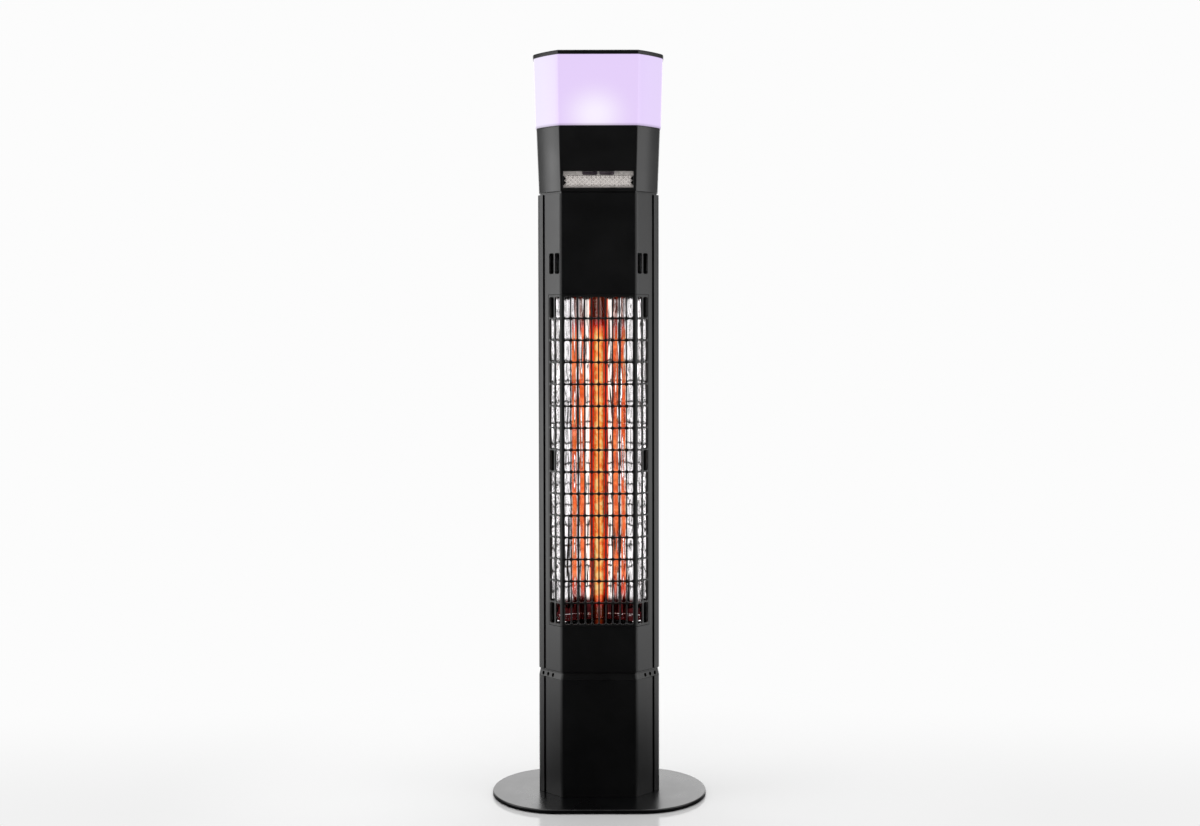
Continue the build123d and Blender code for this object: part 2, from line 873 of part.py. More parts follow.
# head: speaker, buttons and lamp
def tapered_shell(bottom, top, low_grow, high_grow):
    # rounded corners outside, sharp ones inside
    hollow = flared(bottom, top, low_grow - head_wall, high_grow - head_wall, crowned_plan)
    return flared(bottom, top, low_grow, high_grow, head_plan) - hollow


def make_speaker_housing():
    housing = tapered_shell(head_bottom, head_top, head_bottom_grow, head_top_grow)
    window = (head_bottom + window_low, head_bottom + window_high)
    housing -= block((-window_half, window_half), (-column_depth, 0), window)
    panel = (head_bottom + panel_low, head_bottom + panel_low + panel_height)
    return housing - block((-panel_half, panel_half), (0, column_depth), panel)


def make_speaker_mesh():
    half = window_half + mesh_overlap
    return block((-half, half), (mesh_face, mesh_face + mesh_thickness), (head_bottom + fit_gap, mesh_top))


def make_sensor_lenses():
    # two small windows side by side under the top edge of the speaker's opening
    top = head_bottom + window_high - fit_gap
    depth = (mesh_face - running_gap - lens_thickness, mesh_face - running_gap)
    lenses = []
    for x in (-lens_x, lens_x):
        lens = block(around(x, lens_half), depth, (top - lens_height, top))
        lower_corners = lens.edges().filter_by(Axis.Y).group_by(Axis.Z)[0]
        lenses.append(chamfer(lower_corners, lens_corner))
    return lenses


def oval(margin=0.0):
    # the outline of the oval loudspeakers, with cut corners
    half_length, half_height = cone_half_length + margin, cone_half_height + margin
    return cut_corners(2 * half_length, 2 * half_height, 0.6 * half_height)


def make_speaker_baffle():
    half = window_half + mesh_overlap - fit_gap
    baffle = block((-half, half), (baffle_face, driver_face), (head_bottom + fit_gap, mesh_top))
    for x in (-driver_x, driver_x):
        hole = extrude(Plane.XZ * oval(2 * cone_set_back), amount=baffle_thickness)
        baffle -= Pos(x, driver_face, speaker_middle) * hole
    return baffle


def make_driver_frames():
    rim = extrude(Plane.XZ * (oval(driver_rim) - oval(fit_gap)), amount=-driver_depth)
    half_x, half_z = cone_half_length + driver_rim, cone_half_height + driver_rim
    back = driver_depth + baffle_thickness
    basket = block((-half_x, half_x), (driver_depth, back), (-half_z, half_z))
    magnet = block((-magnet_half, magnet_half), (back, back + magnet_depth), (-magnet_half, magnet_half))
    frame = rim + basket + magnet
    return [Pos(x, driver_face, speaker_middle) * frame for x in (-driver_x, driver_x)]


def make_cone(x):
    draft = degrees(atan(cone_half_height / 2 / cone_depth))
    cone = extrude(Plane.XZ * oval(), amount=-cone_depth, taper=draft)
    cone -= Pos(0, -cone_skin, 0) * cone
    return Pos(x, driver_face + cone_set_back, speaker_middle) * cone


def make_amplifier_board():
    low = head_bottom + amplifier_post
    face = low + board_thickness
    rear = half_depth - amplifier_from_rear
    board = block((-amplifier_half, amplifier_half), (amplifier_front, rear), (low, face))
    middle = (amplifier_front + rear) / 2
    sink = block(around(-sink_x, sink_half), around(middle, sink_half), (face, face + sink_height))
    low_part = block(around(sink_x, sink_half), around(middle, sink_half), (face, face + sink_height / 2))
    return board + sink + low_part


def button_places():
    return [button_spacing * (place - (button_count - 1) / 2) for place in range(button_count)]


def make_button_panel():
    low, high = head_bottom + panel_low + fit_gap, head_bottom + panel_low + panel_height - fit_gap
    half = panel_half - fit_gap
    panel = block((-half, half), (panel_back, panel_face), (low, high))
    hole_x, hole_z = button_half_width + fit_gap, button_half_height + fit_gap
    for x in button_places():
        panel -= block(around(x, hole_x), (panel_back, panel_face), around(button_z, hole_z))
    leg = block((half - panel_thickness, half), (panel_back - panel_leg, panel_back), (low, high))
    return panel + both_sides(leg)


def make_button(x):
    wide, high = button_half_width, button_half_height
    stop = panel_back - fit_gap
    cap = block((-wide, wide), (stop, panel_face + button_proud), (-high, high))
    cap = chamfer(cap.edges().group_by(Axis.Y)[-1], button_proud / 2)
    edge = button_flange
    flange = block((-wide - edge, wide + edge), (stop - edge, stop), (-high - edge, high + edge))
    stem = block((-edge, edge), (stop - button_stem, stop - edge), (-edge, edge))
    return Pos(x, 0, button_z) * (cap + flange + stem)


def make_button_board():
    # the board behind the buttons, with one key switch for each
    front = panel_back - panel_leg
    high = panel_height / 2 - fit_gap
    half = panel_half - fit_gap
    board = block((-half, half), (front - board_thickness, front), around(button_z, high))
    key_face = panel_back - fit_gap - button_stem - button_travel - fit_gap
    for x in button_places():
        board += block(around(x, button_half_height), (front, key_face), around(button_z, button_half_height))
    return board


def make_lamp_tray():
    rim = raised(head_top, lamp_bottom, head_plan(head_top_grow))
    inner = head_top_grow - head_wall - 2 * fit_gap
    tray = rim + slab(head_top - tray_depth, head_top, inner)
    return tray - slab(head_top - tray_depth + wall, lamp_bottom, inner - wall)


def make_led_board():
    low = head_top - tray_depth + wall
    half_y = led_board_depth / 2
    return block((-led_board_half, led_board_half), (-half_y, half_y), (low, low + board_thickness))


def make_led_chips():
    low = head_top - tray_depth + wall + board_thickness
    chips = []
    for column in range(chip_columns):
        x = chip_pitch * (column - (chip_columns - 1) / 2)
        for y in (-chip_y, chip_y):
            chips.append(block(around(x, chip_half), around(y, chip_half), (low, low + chip_height)))
    return chips


def make_top_cap():
    cap = raised(lamp_top, lamp_top + cap_thickness, head_plan(cap_grow))
    cap = chamfer(cap.edges().group_by(Axis.Z)[-1], cap_bevel)
    skirt = lamp_top_grow - head_wall - 2 * fit_gap
    return cap + ring(lamp_top - skirt_depth, lamp_top, skirt, skirt - wall)


# write every piece
def save(shape, name):
    if isinstance(shape, list):
        shape = Compound(children=[item for piece in shape for item in piece.solids()])
    export_step(shape, f"parts/{name}.step")


save(make_base_plate(), "base_plate")
save(make_base_pads(), "base_pads")
save(make_base_bolts(), "base_bolts")
save(make_column_foot(), "column_foot")
save(make_lower_front_cover(), "lower_front_cover")
save(make_lower_rear_cover(), "lower_rear_cover")
save(make_control_board(), "control_board")
save(make_board_parts(), "board_parts")
save(make_terminal_block(), "terminal_block")
save(make_tip_switch_bracket(), "tip_switch_bracket")
save(make_tip_switch_pendulum(), "tip_switch_pendulum")
save(make_power_switch_body(), "power_switch_body")
save(make_power_rocker(), "power_rocker")
save(make_cable_gland(), "cable_gland")
save(make_collar(), "vented_collar")
save(make_upper_front_cover(), "upper_front_cover")
save(make_guard_grille(), "guard_grille")
save(make_upper_rear_cover(), "upper_rear_cover")
save(make_cover_screws(), "rear_cover_screws")
save(make_inner_frame(), "inner_frame")
save(make_reflector(), "reflector")
save(end_plate(plate_bottom - sheet), "reflector_bottom_plate")
save(end_plate(plate_top), "reflector_top_plate")
save(make_reflector_brackets(), "reflector_brackets")
save(make_quartz_tube(), "quartz_tube")
save(make_heating_coil(), "heating_coil")
save(make_tube_end_caps(), "tube_end_caps")
save(make_tube_holders(), "tube_holders")
save(make_thermal_cutout(), "thermal_cutout")
save(make_head_floor(), "head_floor")
save(make_speaker_housing(), "speaker_housing")
save(make_speaker_mesh(), "speaker_mesh")
save(make_sensor_lenses(), "sensor_lenses")
save(make_speaker_baffle(), "speaker_baffle")
save(make_driver_frames(), "driver_frames")
save(make_cone(-driver_x), "left_speaker_cone")
save(make_cone(driver_x), "right_speaker_cone")
save(make_amplifier_board(), "amplifier_board")
save(make_button_panel(), "button_panel")
for button, x in enumerate(button_places(), start=1):
    save(make_button(x), f"push_button_{button}")
save(make_button_board(), "button_board")
save(make_lamp_tray(), "lamp_tray")
save(make_led_board(), "led_board")
save(make_led_chips(), "led_chips")
save(tapered_shell(lamp_bottom, lamp_top, lamp_bottom_grow, lamp_top_grow), "lamp_diffuser")
save(make_top_cap(), "top_cap")
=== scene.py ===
import json
from math import atan, hypot, pi, radians, sqrt, tan

import bpy
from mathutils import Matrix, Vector

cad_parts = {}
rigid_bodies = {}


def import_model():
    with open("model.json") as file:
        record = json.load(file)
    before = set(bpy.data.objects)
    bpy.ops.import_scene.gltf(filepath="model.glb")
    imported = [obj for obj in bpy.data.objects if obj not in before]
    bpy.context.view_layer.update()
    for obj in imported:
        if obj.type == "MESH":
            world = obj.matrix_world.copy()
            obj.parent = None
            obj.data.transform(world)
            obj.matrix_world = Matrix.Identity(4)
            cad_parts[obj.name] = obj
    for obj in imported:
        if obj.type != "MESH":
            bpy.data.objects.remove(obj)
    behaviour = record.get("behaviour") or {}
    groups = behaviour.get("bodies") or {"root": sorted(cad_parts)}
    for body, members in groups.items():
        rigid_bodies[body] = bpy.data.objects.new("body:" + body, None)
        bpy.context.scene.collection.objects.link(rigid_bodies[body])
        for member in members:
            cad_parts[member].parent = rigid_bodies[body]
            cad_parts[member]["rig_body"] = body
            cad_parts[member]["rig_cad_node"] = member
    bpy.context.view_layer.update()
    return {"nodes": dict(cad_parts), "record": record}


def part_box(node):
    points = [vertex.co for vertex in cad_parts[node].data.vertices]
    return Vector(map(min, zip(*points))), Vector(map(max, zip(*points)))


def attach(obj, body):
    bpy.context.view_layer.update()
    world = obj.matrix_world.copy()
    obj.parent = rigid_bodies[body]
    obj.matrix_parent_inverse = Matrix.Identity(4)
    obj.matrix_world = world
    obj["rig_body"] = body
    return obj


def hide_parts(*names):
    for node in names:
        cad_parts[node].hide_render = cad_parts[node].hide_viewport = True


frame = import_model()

# Infrared patio heater tower. Metres, +Z up, the front looks along -Y.

scene = bpy.context.scene
diagonal = sqrt(0.5)
hair = 0.00001  # two places closer than this count as one

# the camera
view = {
    "place": (0.0019, -1.9289, 0.6293),
    "pitch": 1.34,  # degrees below the horizon
    "roll": 0.10,
    "lens": 42.68,
    "sensor": 36.0,
    "shift": -0.0405,  # the photograph is cropped off the middle of its frame
}


def addCamera():
    data = bpy.data.cameras.new("camera")
    data.lens = view["lens"]
    data.sensor_width = view["sensor"]
    data.shift_y = view["shift"]
    camera = bpy.data.objects.new("camera", data)
    scene.collection.objects.link(camera)
    camera.location = view["place"]
    camera.rotation_euler = (radians(90 - view["pitch"]), radians(view["roll"]), 0)
    scene.camera = camera


addCamera()
print("camera placed")


# nodes
def hexColour(text):
    # an sRGB hex value as linear red, green, blue and alpha
    parts = [int(text[place : place + 2], 16) / 255 for place in (0, 2, 4)]
    linear = [part / 12.92 if part <= 0.04045 else ((part + 0.055) / 1.055) ** 2.4 for part in parts]
    return linear + [1.0]


def setStops(elements, stops):
    # a colour ramp's stops, from (place, hex colour) pairs
    while len(elements) < len(stops):
        elements.new(0.5)
    for element, (place, colour) in zip(elements, stops):
        element.position = place
        element.color = hexColour(colour)


def addNode(tree, kind, settings={}, links={}):
    # one node: its properties and input values, then what is linked to its inputs; gives its outputs
    node = tree.nodes.new("ShaderNode" + kind)
    for name, value in settings.items():
        if name == "stops":
            setStops(node.color_ramp.elements, value)
        elif isinstance(name, int) or name in node.inputs:
            node.inputs[name].default_value = value
        else:
            setattr(node, name, value)
    for name, source in links.items():
        tree.links.new(source, node.inputs[name])
    return node.outputs


def softStep(start, end, low=0.0, high=1.0):
    # settings that take a value from low to high, smoothly, while it goes from start to end
    limits = {"From Min": start, "From Max": end, "To Min": low, "To Max": high}
    return {"interpolation_type": "SMOOTHSTEP", **limits}


def measure(tree, place, centre, shape):
    # how far a place is from a centre, with each axis scaled by shape
    away = addNode(tree, "VectorMath", {"operation": "SUBTRACT", 1: centre}, {0: place})
    scaled = addNode(tree, "VectorMath", {"operation": "MULTIPLY", 1: shape}, {0: away[0]})
    return addNode(tree, "VectorMath", {"operation": "LENGTH"}, {0: scaled[0]})["Value"]


def newMaterial(name):
    # an empty material and the piece's own coordinates
    material = bpy.data.materials.new(name)
    material.use_nodes = True
    tree = material.node_tree
    tree.nodes.clear()
    place = addNode(tree, "TexCoord")["Object"]
    return material, tree, place


def finishMaterial(tree, shader):
    addNode(tree, "OutputMaterial", links={"Surface": shader[0]})


def grainedCoat(name, colours, roughness, grainMm, grainDepthMm, specular=0.5, metallic=0.0, patchMm=60.0):
    # a surface with a fine grain, and slow patches of colour and gloss over it
    material, tree, place = newMaterial(name)
    cloudy = {"Scale": 1000 / patchMm, "Detail": 3.0, "Roughness": 0.6}
    patches = addNode(tree, "TexNoise", cloudy, {"Vector": place})["Fac"]
    stops = [(0.35, colours[0]), (0.65, colours[1])]
    colour = addNode(tree, "ValToRGB", {"stops": stops}, {"Fac": patches})["Color"]
    gloss = addNode(tree, "MapRange", softStep(0.3, 0.7, *roughness), {"Value": patches})["Result"]
    grain = addNode(tree, "TexNoise", {"Scale": 1000 / grainMm, "Detail": 2.0}, {"Vector": place})
    bump = addNode(tree, "Bump", {"Distance": grainDepthMm / 1000}, {"Height": grain["Fac"]})
    shader = addNode(
        tree,
        "BsdfPrincipled",
        {"Specular IOR Level": specular, "Metallic": metallic},
        {"Base Color": colour, "Roughness": gloss, "Normal": bump["Normal"]},
    )
    finishMaterial(tree, shader)
    return material


# satin black powder coat: near black, soft broad reflections and a fine even texture
satinPowderCoat = grainedCoat("satinPowderCoat", ("070708", "0A0A0B"), (0.3, 0.35), 1.6, 0.006)
# the same coat on the guard's thin bars, a little rougher where the dip coating pulls off edges
guardEnamel = grainedCoat("guardEnamel", ("080808", "0C0C0C"), (0.34, 0.4), 1.2, 0.006)
# semi-gloss enamel on the steel base: it mirrors the bright background softly at a low angle
glossEnamel = grainedCoat("glossEnamel", ("050506", "080809"), (0.26, 0.32), 2.5, 0.003)
# moulded ABS: satin black with a fine spark-eroded grain
mouldedAbs = grainedCoat("mouldedAbs", ("070708", "0A0A0B"), (0.3, 0.36), 0.8, 0.006)
# thermoplastic rubber: dull and slightly dusty
padRubber = grainedCoat("padRubber", ("141414", "1E1E1E"), (0.7, 0.85), 0.9, 0.02, specular=0.3)
# zinc plated sheet steel: grey metal with cloudy patches
zincGreys = ("A4A8AB", "BCC0C3")
zincSteel = grainedCoat("zincSteel", zincGreys, (0.32, 0.46), 1.5, 0.004, metallic=1.0, patchMm=12.0)
# glazed ceramic: off white, smooth
glazedCeramic = grainedCoat("glazedCeramic", ("DAD4C6", "E8E2D6"), (0.25, 0.35), 1.5, 0.01)
# phenolic terminal resin: ivory
terminalResin = grainedCoat("terminalResin", ("D9D2BC", "E2DCC8"), (0.4, 0.5), 1.0, 0.01)
# glass fibre circuit board with its green solder mask
solderMask = grainedCoat("solderMask", ("0C4A2A", "11603A"), (0.28, 0.4), 2.2, 0.01, patchMm=6.0)
# epoxy and tape wound parts on the boards
castEpoxy = grainedCoat("castEpoxy", ("2B2D30", "3A3C40"), (0.4, 0.5), 1.0, 0.01)
# pressed paper cone: dark grey fibres
conePaper = grainedCoat("conePaper", ("1A1A1C", "29292C"), (0.75, 0.9), 0.7, 0.03)
# soft touch button plastic: dark grey
buttonPlastic = grainedCoat("buttonPlastic", ("34363A", "3C3E42"), (0.45, 0.55), 0.7, 0.01)
# light chips: a yellow phosphor window in a white cup
chipPhosphor = grainedCoat("chipPhosphor", ("E8D46A", "F2E28C"), (0.35, 0.4), 0.8, 0.01)
# pad printing ink on the rocker: chalky white
printInk = grainedCoat("printInk", ("D4D4D0", "E4E4E0"), (0.5, 0.6), 0.5, 0.004)
# steel mesh in silver lacquer: bright, its faces catch the light unevenly
lacquerGreys = ("C6C0BC", "DAD4D0")
silverMesh = grainedCoat("silverMesh", lacquerGreys, (0.24, 0.3), 2.0, 0.004, metallic=0.35, patchMm=9.0)
# smoked acrylic: grey with a violet cast, cloudy, and a faint dust of fine scratches
smokedAcrylic = grainedCoat("smokedAcrylic", ("2C262C", "4E464C"), (0.15, 0.3), 1.2, 0.01, patchMm=7.0)

# the reflector's sheet: patterns in millimetres, the rest in metres
sheet = {
    "streakMm": 1.5,
    "waveMm": 7.0,
    "waveDepth": 0.001,
    "roughness": (0.04, 0.1),
    # painted reflections in the sheet's colour: the glowing tube's orange near the middle, and a dark red
    # one along the foot
    "glowReflectionReach": 0.03,  # the ramp runs from the middle to here
    "glowReflection": [(0.0, "FFD8C0"), (0.22, "E0562A"), (0.36, "E8683C"), (0.44, "FFF4EC"), (1.0, "FAF6F8")],
    "darkReflection": "421618",
    "darkReflectionTop": (0.267, 0.258),  # going down, where the dark foot starts and where it is full
    "plateTop": 0.2414,  # the plate below this stays bright
}


def makePolishedAluminium():
    # rolled mirror aluminium: bright, creased up and down by the rolls, with the glowing tube's orange
    # reflection painted in behind the tube and a painted dark red reflection at its foot
    material, tree, place = newMaterial("polishedAluminium")
    stretch = addNode(tree, "Mapping", {"Scale": (1, 1, 0.02)}, {"Vector": place})
    fine = {"Scale": 1000 / sheet["streakMm"], "Detail": 2.0}
    streaks = addNode(tree, "TexNoise", fine, {"Vector": stretch[0]})["Fac"]
    slow = addNode(tree, "Mapping", {"Scale": (1, 1, 0.1)}, {"Vector": place})
    broad = {"Scale": 1000 / sheet["waveMm"], "Detail": 1.0}
    waves = addNode(tree, "TexNoise", broad, {"Vector": slow[0]})["Fac"]
    axes = addNode(tree, "SeparateXYZ", links={"Vector": place})
    apart = addNode(tree, "Math", {"operation": "ABSOLUTE"}, {0: axes["X"]})[0]
    # the glowing tube's orange reflection, painted into the colour near the middle
    across = addNode(tree, "MapRange", softStep(0.0, sheet["glowReflectionReach"]), {"Value": apart})["Result"]
    glowReflection = addNode(tree, "ValToRGB", {"stops": sheet["glowReflection"]}, {"Fac": across})["Color"]
    # a painted dark red reflection along the foot, above the plate
    low = addNode(tree, "MapRange", softStep(*sheet["darkReflectionTop"]), {"Value": axes["Z"]})["Result"]
    above = addNode(tree, "Math", {"operation": "GREATER_THAN", 1: sheet["plateTop"]}, {0: axes["Z"]})[0]
    foot = addNode(tree, "Math", {"operation": "MULTIPLY"}, {0: low, 1: above})[0]
    darkReflection = {"data_type": "RGBA", 7: hexColour(sheet["darkReflection"])}
    colour = addNode(tree, "Mix", darkReflection, {0: foot, 6: glowReflection})[2]
    gloss = addNode(tree, "MapRange", softStep(0.0, 1.0, *sheet["roughness"]), {"Value": streaks})["Result"]
    bump = addNode(tree, "Bump", {"Distance": sheet["waveDepth"]}, {"Height": waves})
    shader = addNode(
        tree,
        "BsdfPrincipled",
        {"Metallic": 1.0},
        {"Base Color": colour, "Roughness": gloss, "Normal": bump["Normal"]},
    )
    finishMaterial(tree, shader)
    return material


# how the heat fades towards both ends of the wound wire, in metres from its ends, and how bright it is
heat = {
    "low": 0.2666,
    "high": 0.6466,
    "cool": 0.004,
    "full": 0.03,
    "below": 0.012,  # the tube glows this much further down than the wire
    "wire": 1.5,
    "wireColours": [(0.0, "1A0402"), (0.3, "8A1606"), (0.6, "E04A12"), (0.82, "FF8A38"), (1.0, "FFB458")],
    "oxide": "5A4238",
    "turnsMm": 16.0,
    # the quartz tube's painted glow, standing in for the wire's light scattered in the milky glass: its
    # brightness, cloud size and colours
    "tube": 0.56,
    "cloudMm": 8.0,
    "front": [(0.36, "F07024"), (0.48, "FFA040"), (0.6, "FFD484")],
    "back": [(0.38, "A82C18"), (0.5, "D04A2C"), (0.62, "E87850")],
    "through": (0.2, 0.6),  # shares of the tube's depth between which the front's colours give way
    "ember": [(0.0, "4A2418"), (0.25, "A01A0C"), (0.6, "F0A890"), (0.9, "FFFFFF")],
    "clear": "F2EEEC",
    "hazy": "C4B8B0",
}


def addHeat(tree, place, below=0.0):
    # 0 at the cold ends and 1 where the wire glows fully, then the piece's own coordinates apart
    axes = addNode(tree, "SeparateXYZ", links={"Vector": place})
    rising = softStep(heat["low"] - heat["cool"] - below, heat["low"] + heat["full"] - below)
    falling = softStep(heat["high"] + heat["cool"], heat["high"] - heat["full"])
    rise = addNode(tree, "MapRange", rising, {"Value": axes["Z"]})["Result"]
    fall = addNode(tree, "MapRange", falling, {"Value": axes["Z"]})["Result"]
    return addNode(tree, "Math", {"operation": "MULTIPLY"}, {0: rise, 1: fall})[0], axes


def makeHotWire():
    # iron chrome wire at full heat: orange, with cooler and hotter turns, dark and oxidised at its ends
    material, tree, place = newMaterial("hotWire")
    lit = addHeat(tree, place)[0]
    uneven = {"Scale": 1000 / heat["turnsMm"], "Detail": 2.0}
    turns = addNode(tree, "TexNoise", uneven, {"Vector": place})["Fac"]
    share = addNode(tree, "MapRange", softStep(0.3, 0.7, 0.8, 1.0), {"Value": turns})["Result"]
    warmth = addNode(tree, "Math", {"operation": "MULTIPLY"}, {0: lit, 1: share})[0]
    colour = addNode(tree, "ValToRGB", {"stops": heat["wireColours"]}, {"Fac": warmth})["Color"]
    light = addNode(tree, "Emission", {"Strength": heat["wire"]}, {"Color": colour})
    oxidised = {"Base Color": hexColour(heat["oxide"]), "Metallic": 1.0, "Roughness": 0.45}
    metal = addNode(tree, "BsdfPrincipled", oxidised)
    finishMaterial(tree, addNode(tree, "MixShader", links={0: lit, 1: metal[0], 2: light[0]}))
    return material


def makeQuartzGlass():
    # fused quartz, milky where it is hot, with a painted glow for the wire's light scattered in it: orange
    # on its front, a deeper red on its back
    material, tree, place = newMaterial("quartzGlass")
    lit, axes = addHeat(tree, place, heat["below"])
    milky = {"Scale": 1000 / heat["cloudMm"], "Detail": 3.0}
    cloud = addNode(tree, "TexNoise", milky, {"Vector": place})["Fac"]
    front = addNode(tree, "ValToRGB", {"stops": heat["front"]}, {"Fac": cloud})["Color"]
    back = addNode(tree, "ValToRGB", {"stops": heat["back"]}, {"Fac": cloud})["Color"]
    low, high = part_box("quartz_tube")
    start, end = (low.y * (1 - share) + high.y * share for share in heat["through"])
    deep = addNode(tree, "MapRange", softStep(start, end), {"Value": axes["Y"]})["Result"]
    colour = addNode(tree, "Mix", {"data_type": "RGBA"}, {0: deep, 6: front, 7: back})[2]
    ember = addNode(tree, "ValToRGB", {"stops": heat["ember"]}, {"Fac": lit})["Color"]
    multiply = {"data_type": "RGBA", "blend_type": "MULTIPLY", 0: 1.0}
    tinted = addNode(tree, "Mix", multiply, {6: colour, 7: ember})[2]
    light = addNode(tree, "Emission", {"Strength": heat["tube"]}, {"Color": tinted})
    veiled = {"data_type": "RGBA", 6: hexColour(heat["clear"]), 7: hexColour(heat["hazy"])}
    haze = addNode(tree, "Mix", veiled, {0: lit})[2]
    clear = addNode(tree, "BsdfTransparent", links={"Color": haze})
    veil = addNode(tree, "AddShader", links={0: light[0], 1: clear[0]})
    shine = addNode(tree, "BsdfAnisotropic", {"Roughness": 0.04})
    edge = addNode(tree, "Fresnel", {"IOR": 1.46})
    finishMaterial(tree, addNode(tree, "MixShader", links={0: edge["Fac"], 1: veil[0], 2: shine[0]}))
    return material


# the lit lamp section: its colours from the left edge to the right, with painted light on the left facet
# and painted shade on the right one, and a pale spot low on its front
lamp = {
    "across": [
        (0.0, "EAE4F4"),
        (0.17, "E6DAF6"),
        (0.2, "E3CDF8"),
        (0.8, "E3CDF8"),
        (0.83, "DCC8F3"),
        (1.0, "DFCEF4"),
    ],
    "spot": (-0.004, 0.0, 0.916),
    "spotShape": (1 / 0.062, 0, 1 / 0.055),
    "spotColour": "F8F0FF",
    "skin": "5E5866",
    "glow": 0.9,
    "foot": (0.004, 0.6),  # how high the darker foot reaches and what it keeps of the glow
}


def makeOpalAcrylic():
    # opal acrylic lit from inside: lilac, paler where the lights sit close behind it, darker along its
    # foot, with painted light on its left facet and painted shade on its right one
    material, tree, place = newMaterial("opalAcrylic")
    low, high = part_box("lamp_diffuser")
    axes = addNode(tree, "SeparateXYZ", links={"Vector": place})
    sides = {"From Min": low.x, "From Max": high.x}
    across = addNode(tree, "MapRange", sides, {"Value": axes["X"]})["Result"]
    # painted light and shade from the side lamps: the left facet paler, the right one a little darker
    wide = addNode(tree, "ValToRGB", {"stops": lamp["across"]}, {"Fac": across})["Color"]
    distance = measure(tree, place, lamp["spot"], lamp["spotShape"])
    near = addNode(tree, "MapRange", softStep(1.0, 0.05), {"Value": distance})["Result"]
    spot = addNode(tree, "Math", {"operation": "POWER", 1: 1.5}, {0: near})[0]
    pale = {"data_type": "RGBA", 7: hexColour(lamp["spotColour"])}
    colour = addNode(tree, "Mix", pale, {0: spot, 6: wide})[2]
    height, kept = lamp["foot"]
    rising = softStep(low.z, low.z + height, kept, 1.0)
    foot = addNode(tree, "MapRange", rising, {"Value": axes["Z"]})["Result"]
    glow = addNode(tree, "Math", {"operation": "MULTIPLY", 1: lamp["glow"]}, {0: foot})[0]
    light = addNode(tree, "Emission", links={"Color": colour, "Strength": glow})
    glossy = {"Base Color": hexColour(lamp["skin"]), "Roughness": 0.4, "Specular IOR Level": 0.35}
    skin = addNode(tree, "BsdfPrincipled", glossy)
    finishMaterial(tree, addNode(tree, "AddShader", links={0: light[0], 1: skin[0]}))
    return material


finishOfSlot = {
    "base_gloss": glossEnamel,
    "pad_rubber": padRubber,
    "steel_zinc": zincSteel,
    "cover_black": satinPowderCoat,
    "guard_black": guardEnamel,
    "black_plastic": mouldedAbs,
    "circuit_board": solderMask,
    "part_grey": castEpoxy,
    "terminal_ivory": terminalResin,
    "rocker_black": mouldedAbs,
    "mirror_aluminium": makePolishedAluminium(),
    "quartz": makeQuartzGlass(),
    "hot_coil": makeHotWire(),
    "ceramic": glazedCeramic,
    "lens_dark": smokedAcrylic,
    "speaker_silver": silverMesh,
    "cone_paper": conePaper,
    "button_grey": buttonPlastic,
    "lamp_lilac": makeOpalAcrylic(),
    "led_chip": chipPhosphor,
}
slotOfNode = {part["node"]: part["material_slot"] for part in frame["record"]["subparts"]}


def finishCadNodes():
    # each node keeps its shape and takes the finish of its material slot
    for name, piece in frame["nodes"].items():
        piece.data.materials.clear()
        piece.data.materials.append(finishOfSlot[slotOfNode[name]])


finishCadNodes()
print("finishes made")


# modelling
fineEdge, roundEdge = 0.0004, 0.0005  # how far the edges of small parts are rounded
past = 0.001  # how far a cutter reaches past what it cuts
# angles between faces, in degrees: made one below, rounded above, kept sharp above, and that on round parts
flatAngle, softAngle, sharpAngle, roundAngle = 1, 35, 30, 60


def deselectAll():
    if bpy.context.mode != "OBJECT":
        bpy.ops.object.mode_set(mode="OBJECT")
    bpy.ops.object.select_all(action="DESELECT")


def activate(piece):
    deselectAll()
    piece.select_set(True)
    bpy.context.view_layer.objects.active = piece


def nameNew(name):
    # names the new primitive and applies its place to its mesh
    piece = bpy.context.object
    piece.name = name
    bpy.ops.object.transform_apply(location=True, rotation=True, scale=True)
    return piece


def addBlock(name, low, high):
    deselectAll()
    middle = [(a + b) / 2 for a, b in zip(low, high)]
    bpy.ops.mesh.primitive_cube_add(size=1, location=middle)
    bpy.context.object.scale = [b - a for a, b in zip(low, high)]
    return nameNew(name)


def addRod(name, radius, start, end, sides=32):
    # a cylinder from one point to another
    deselectAll()
    start, end = Vector(start), Vector(end)
    turn = (end - start).to_track_quat("Z", "Y").to_euler()
    bpy.ops.mesh.primitive_cylinder_add(
        vertices=sides, radius=radius, depth=(end - start).length, location=(start + end) / 2, rotation=turn
    )
    return nameNew(name)


def startPicking(piece, kind):
    activate(piece)
    bpy.ops.object.mode_set(mode="EDIT")
    bpy.ops.mesh.select_mode(type=kind)
    bpy.ops.mesh.select_all(action="DESELECT")
    bpy.ops.object.mode_set(mode="OBJECT")


def pickFaces(piece, wanted):
    # leaves the piece in edit mode with the faces chosen whose middle and normal pass
    startPicking(piece, "FACE")
    for face in piece.data.polygons:
        face.select = wanted(face.center, face.normal)
    bpy.ops.object.mode_set(mode="EDIT")


def pickEdges(piece, wanted):
    startPicking(piece, "EDGE")
    points = piece.data.vertices
    for edge in piece.data.edges:
        a, b = (points[index].co for index in edge.vertices)
        edge.select = wanted(a, b)
    bpy.ops.object.mode_set(mode="EDIT")


def pickPoints(piece, wanted):
    startPicking(piece, "VERT")
    for point in piece.data.vertices:
        point.select = wanted(point.co)
    bpy.ops.object.mode_set(mode="EDIT")


def pickAll(piece):
    activate(piece)
    bpy.ops.object.mode_set(mode="EDIT")
    bpy.ops.mesh.select_all(action="SELECT")


def leaveEdit():
    bpy.ops.object.mode_set(mode="OBJECT")


def removeFaces(piece, unwanted):
    pickFaces(piece, unwanted)
    bpy.ops.mesh.delete(type="FACE")
    leaveEdit()


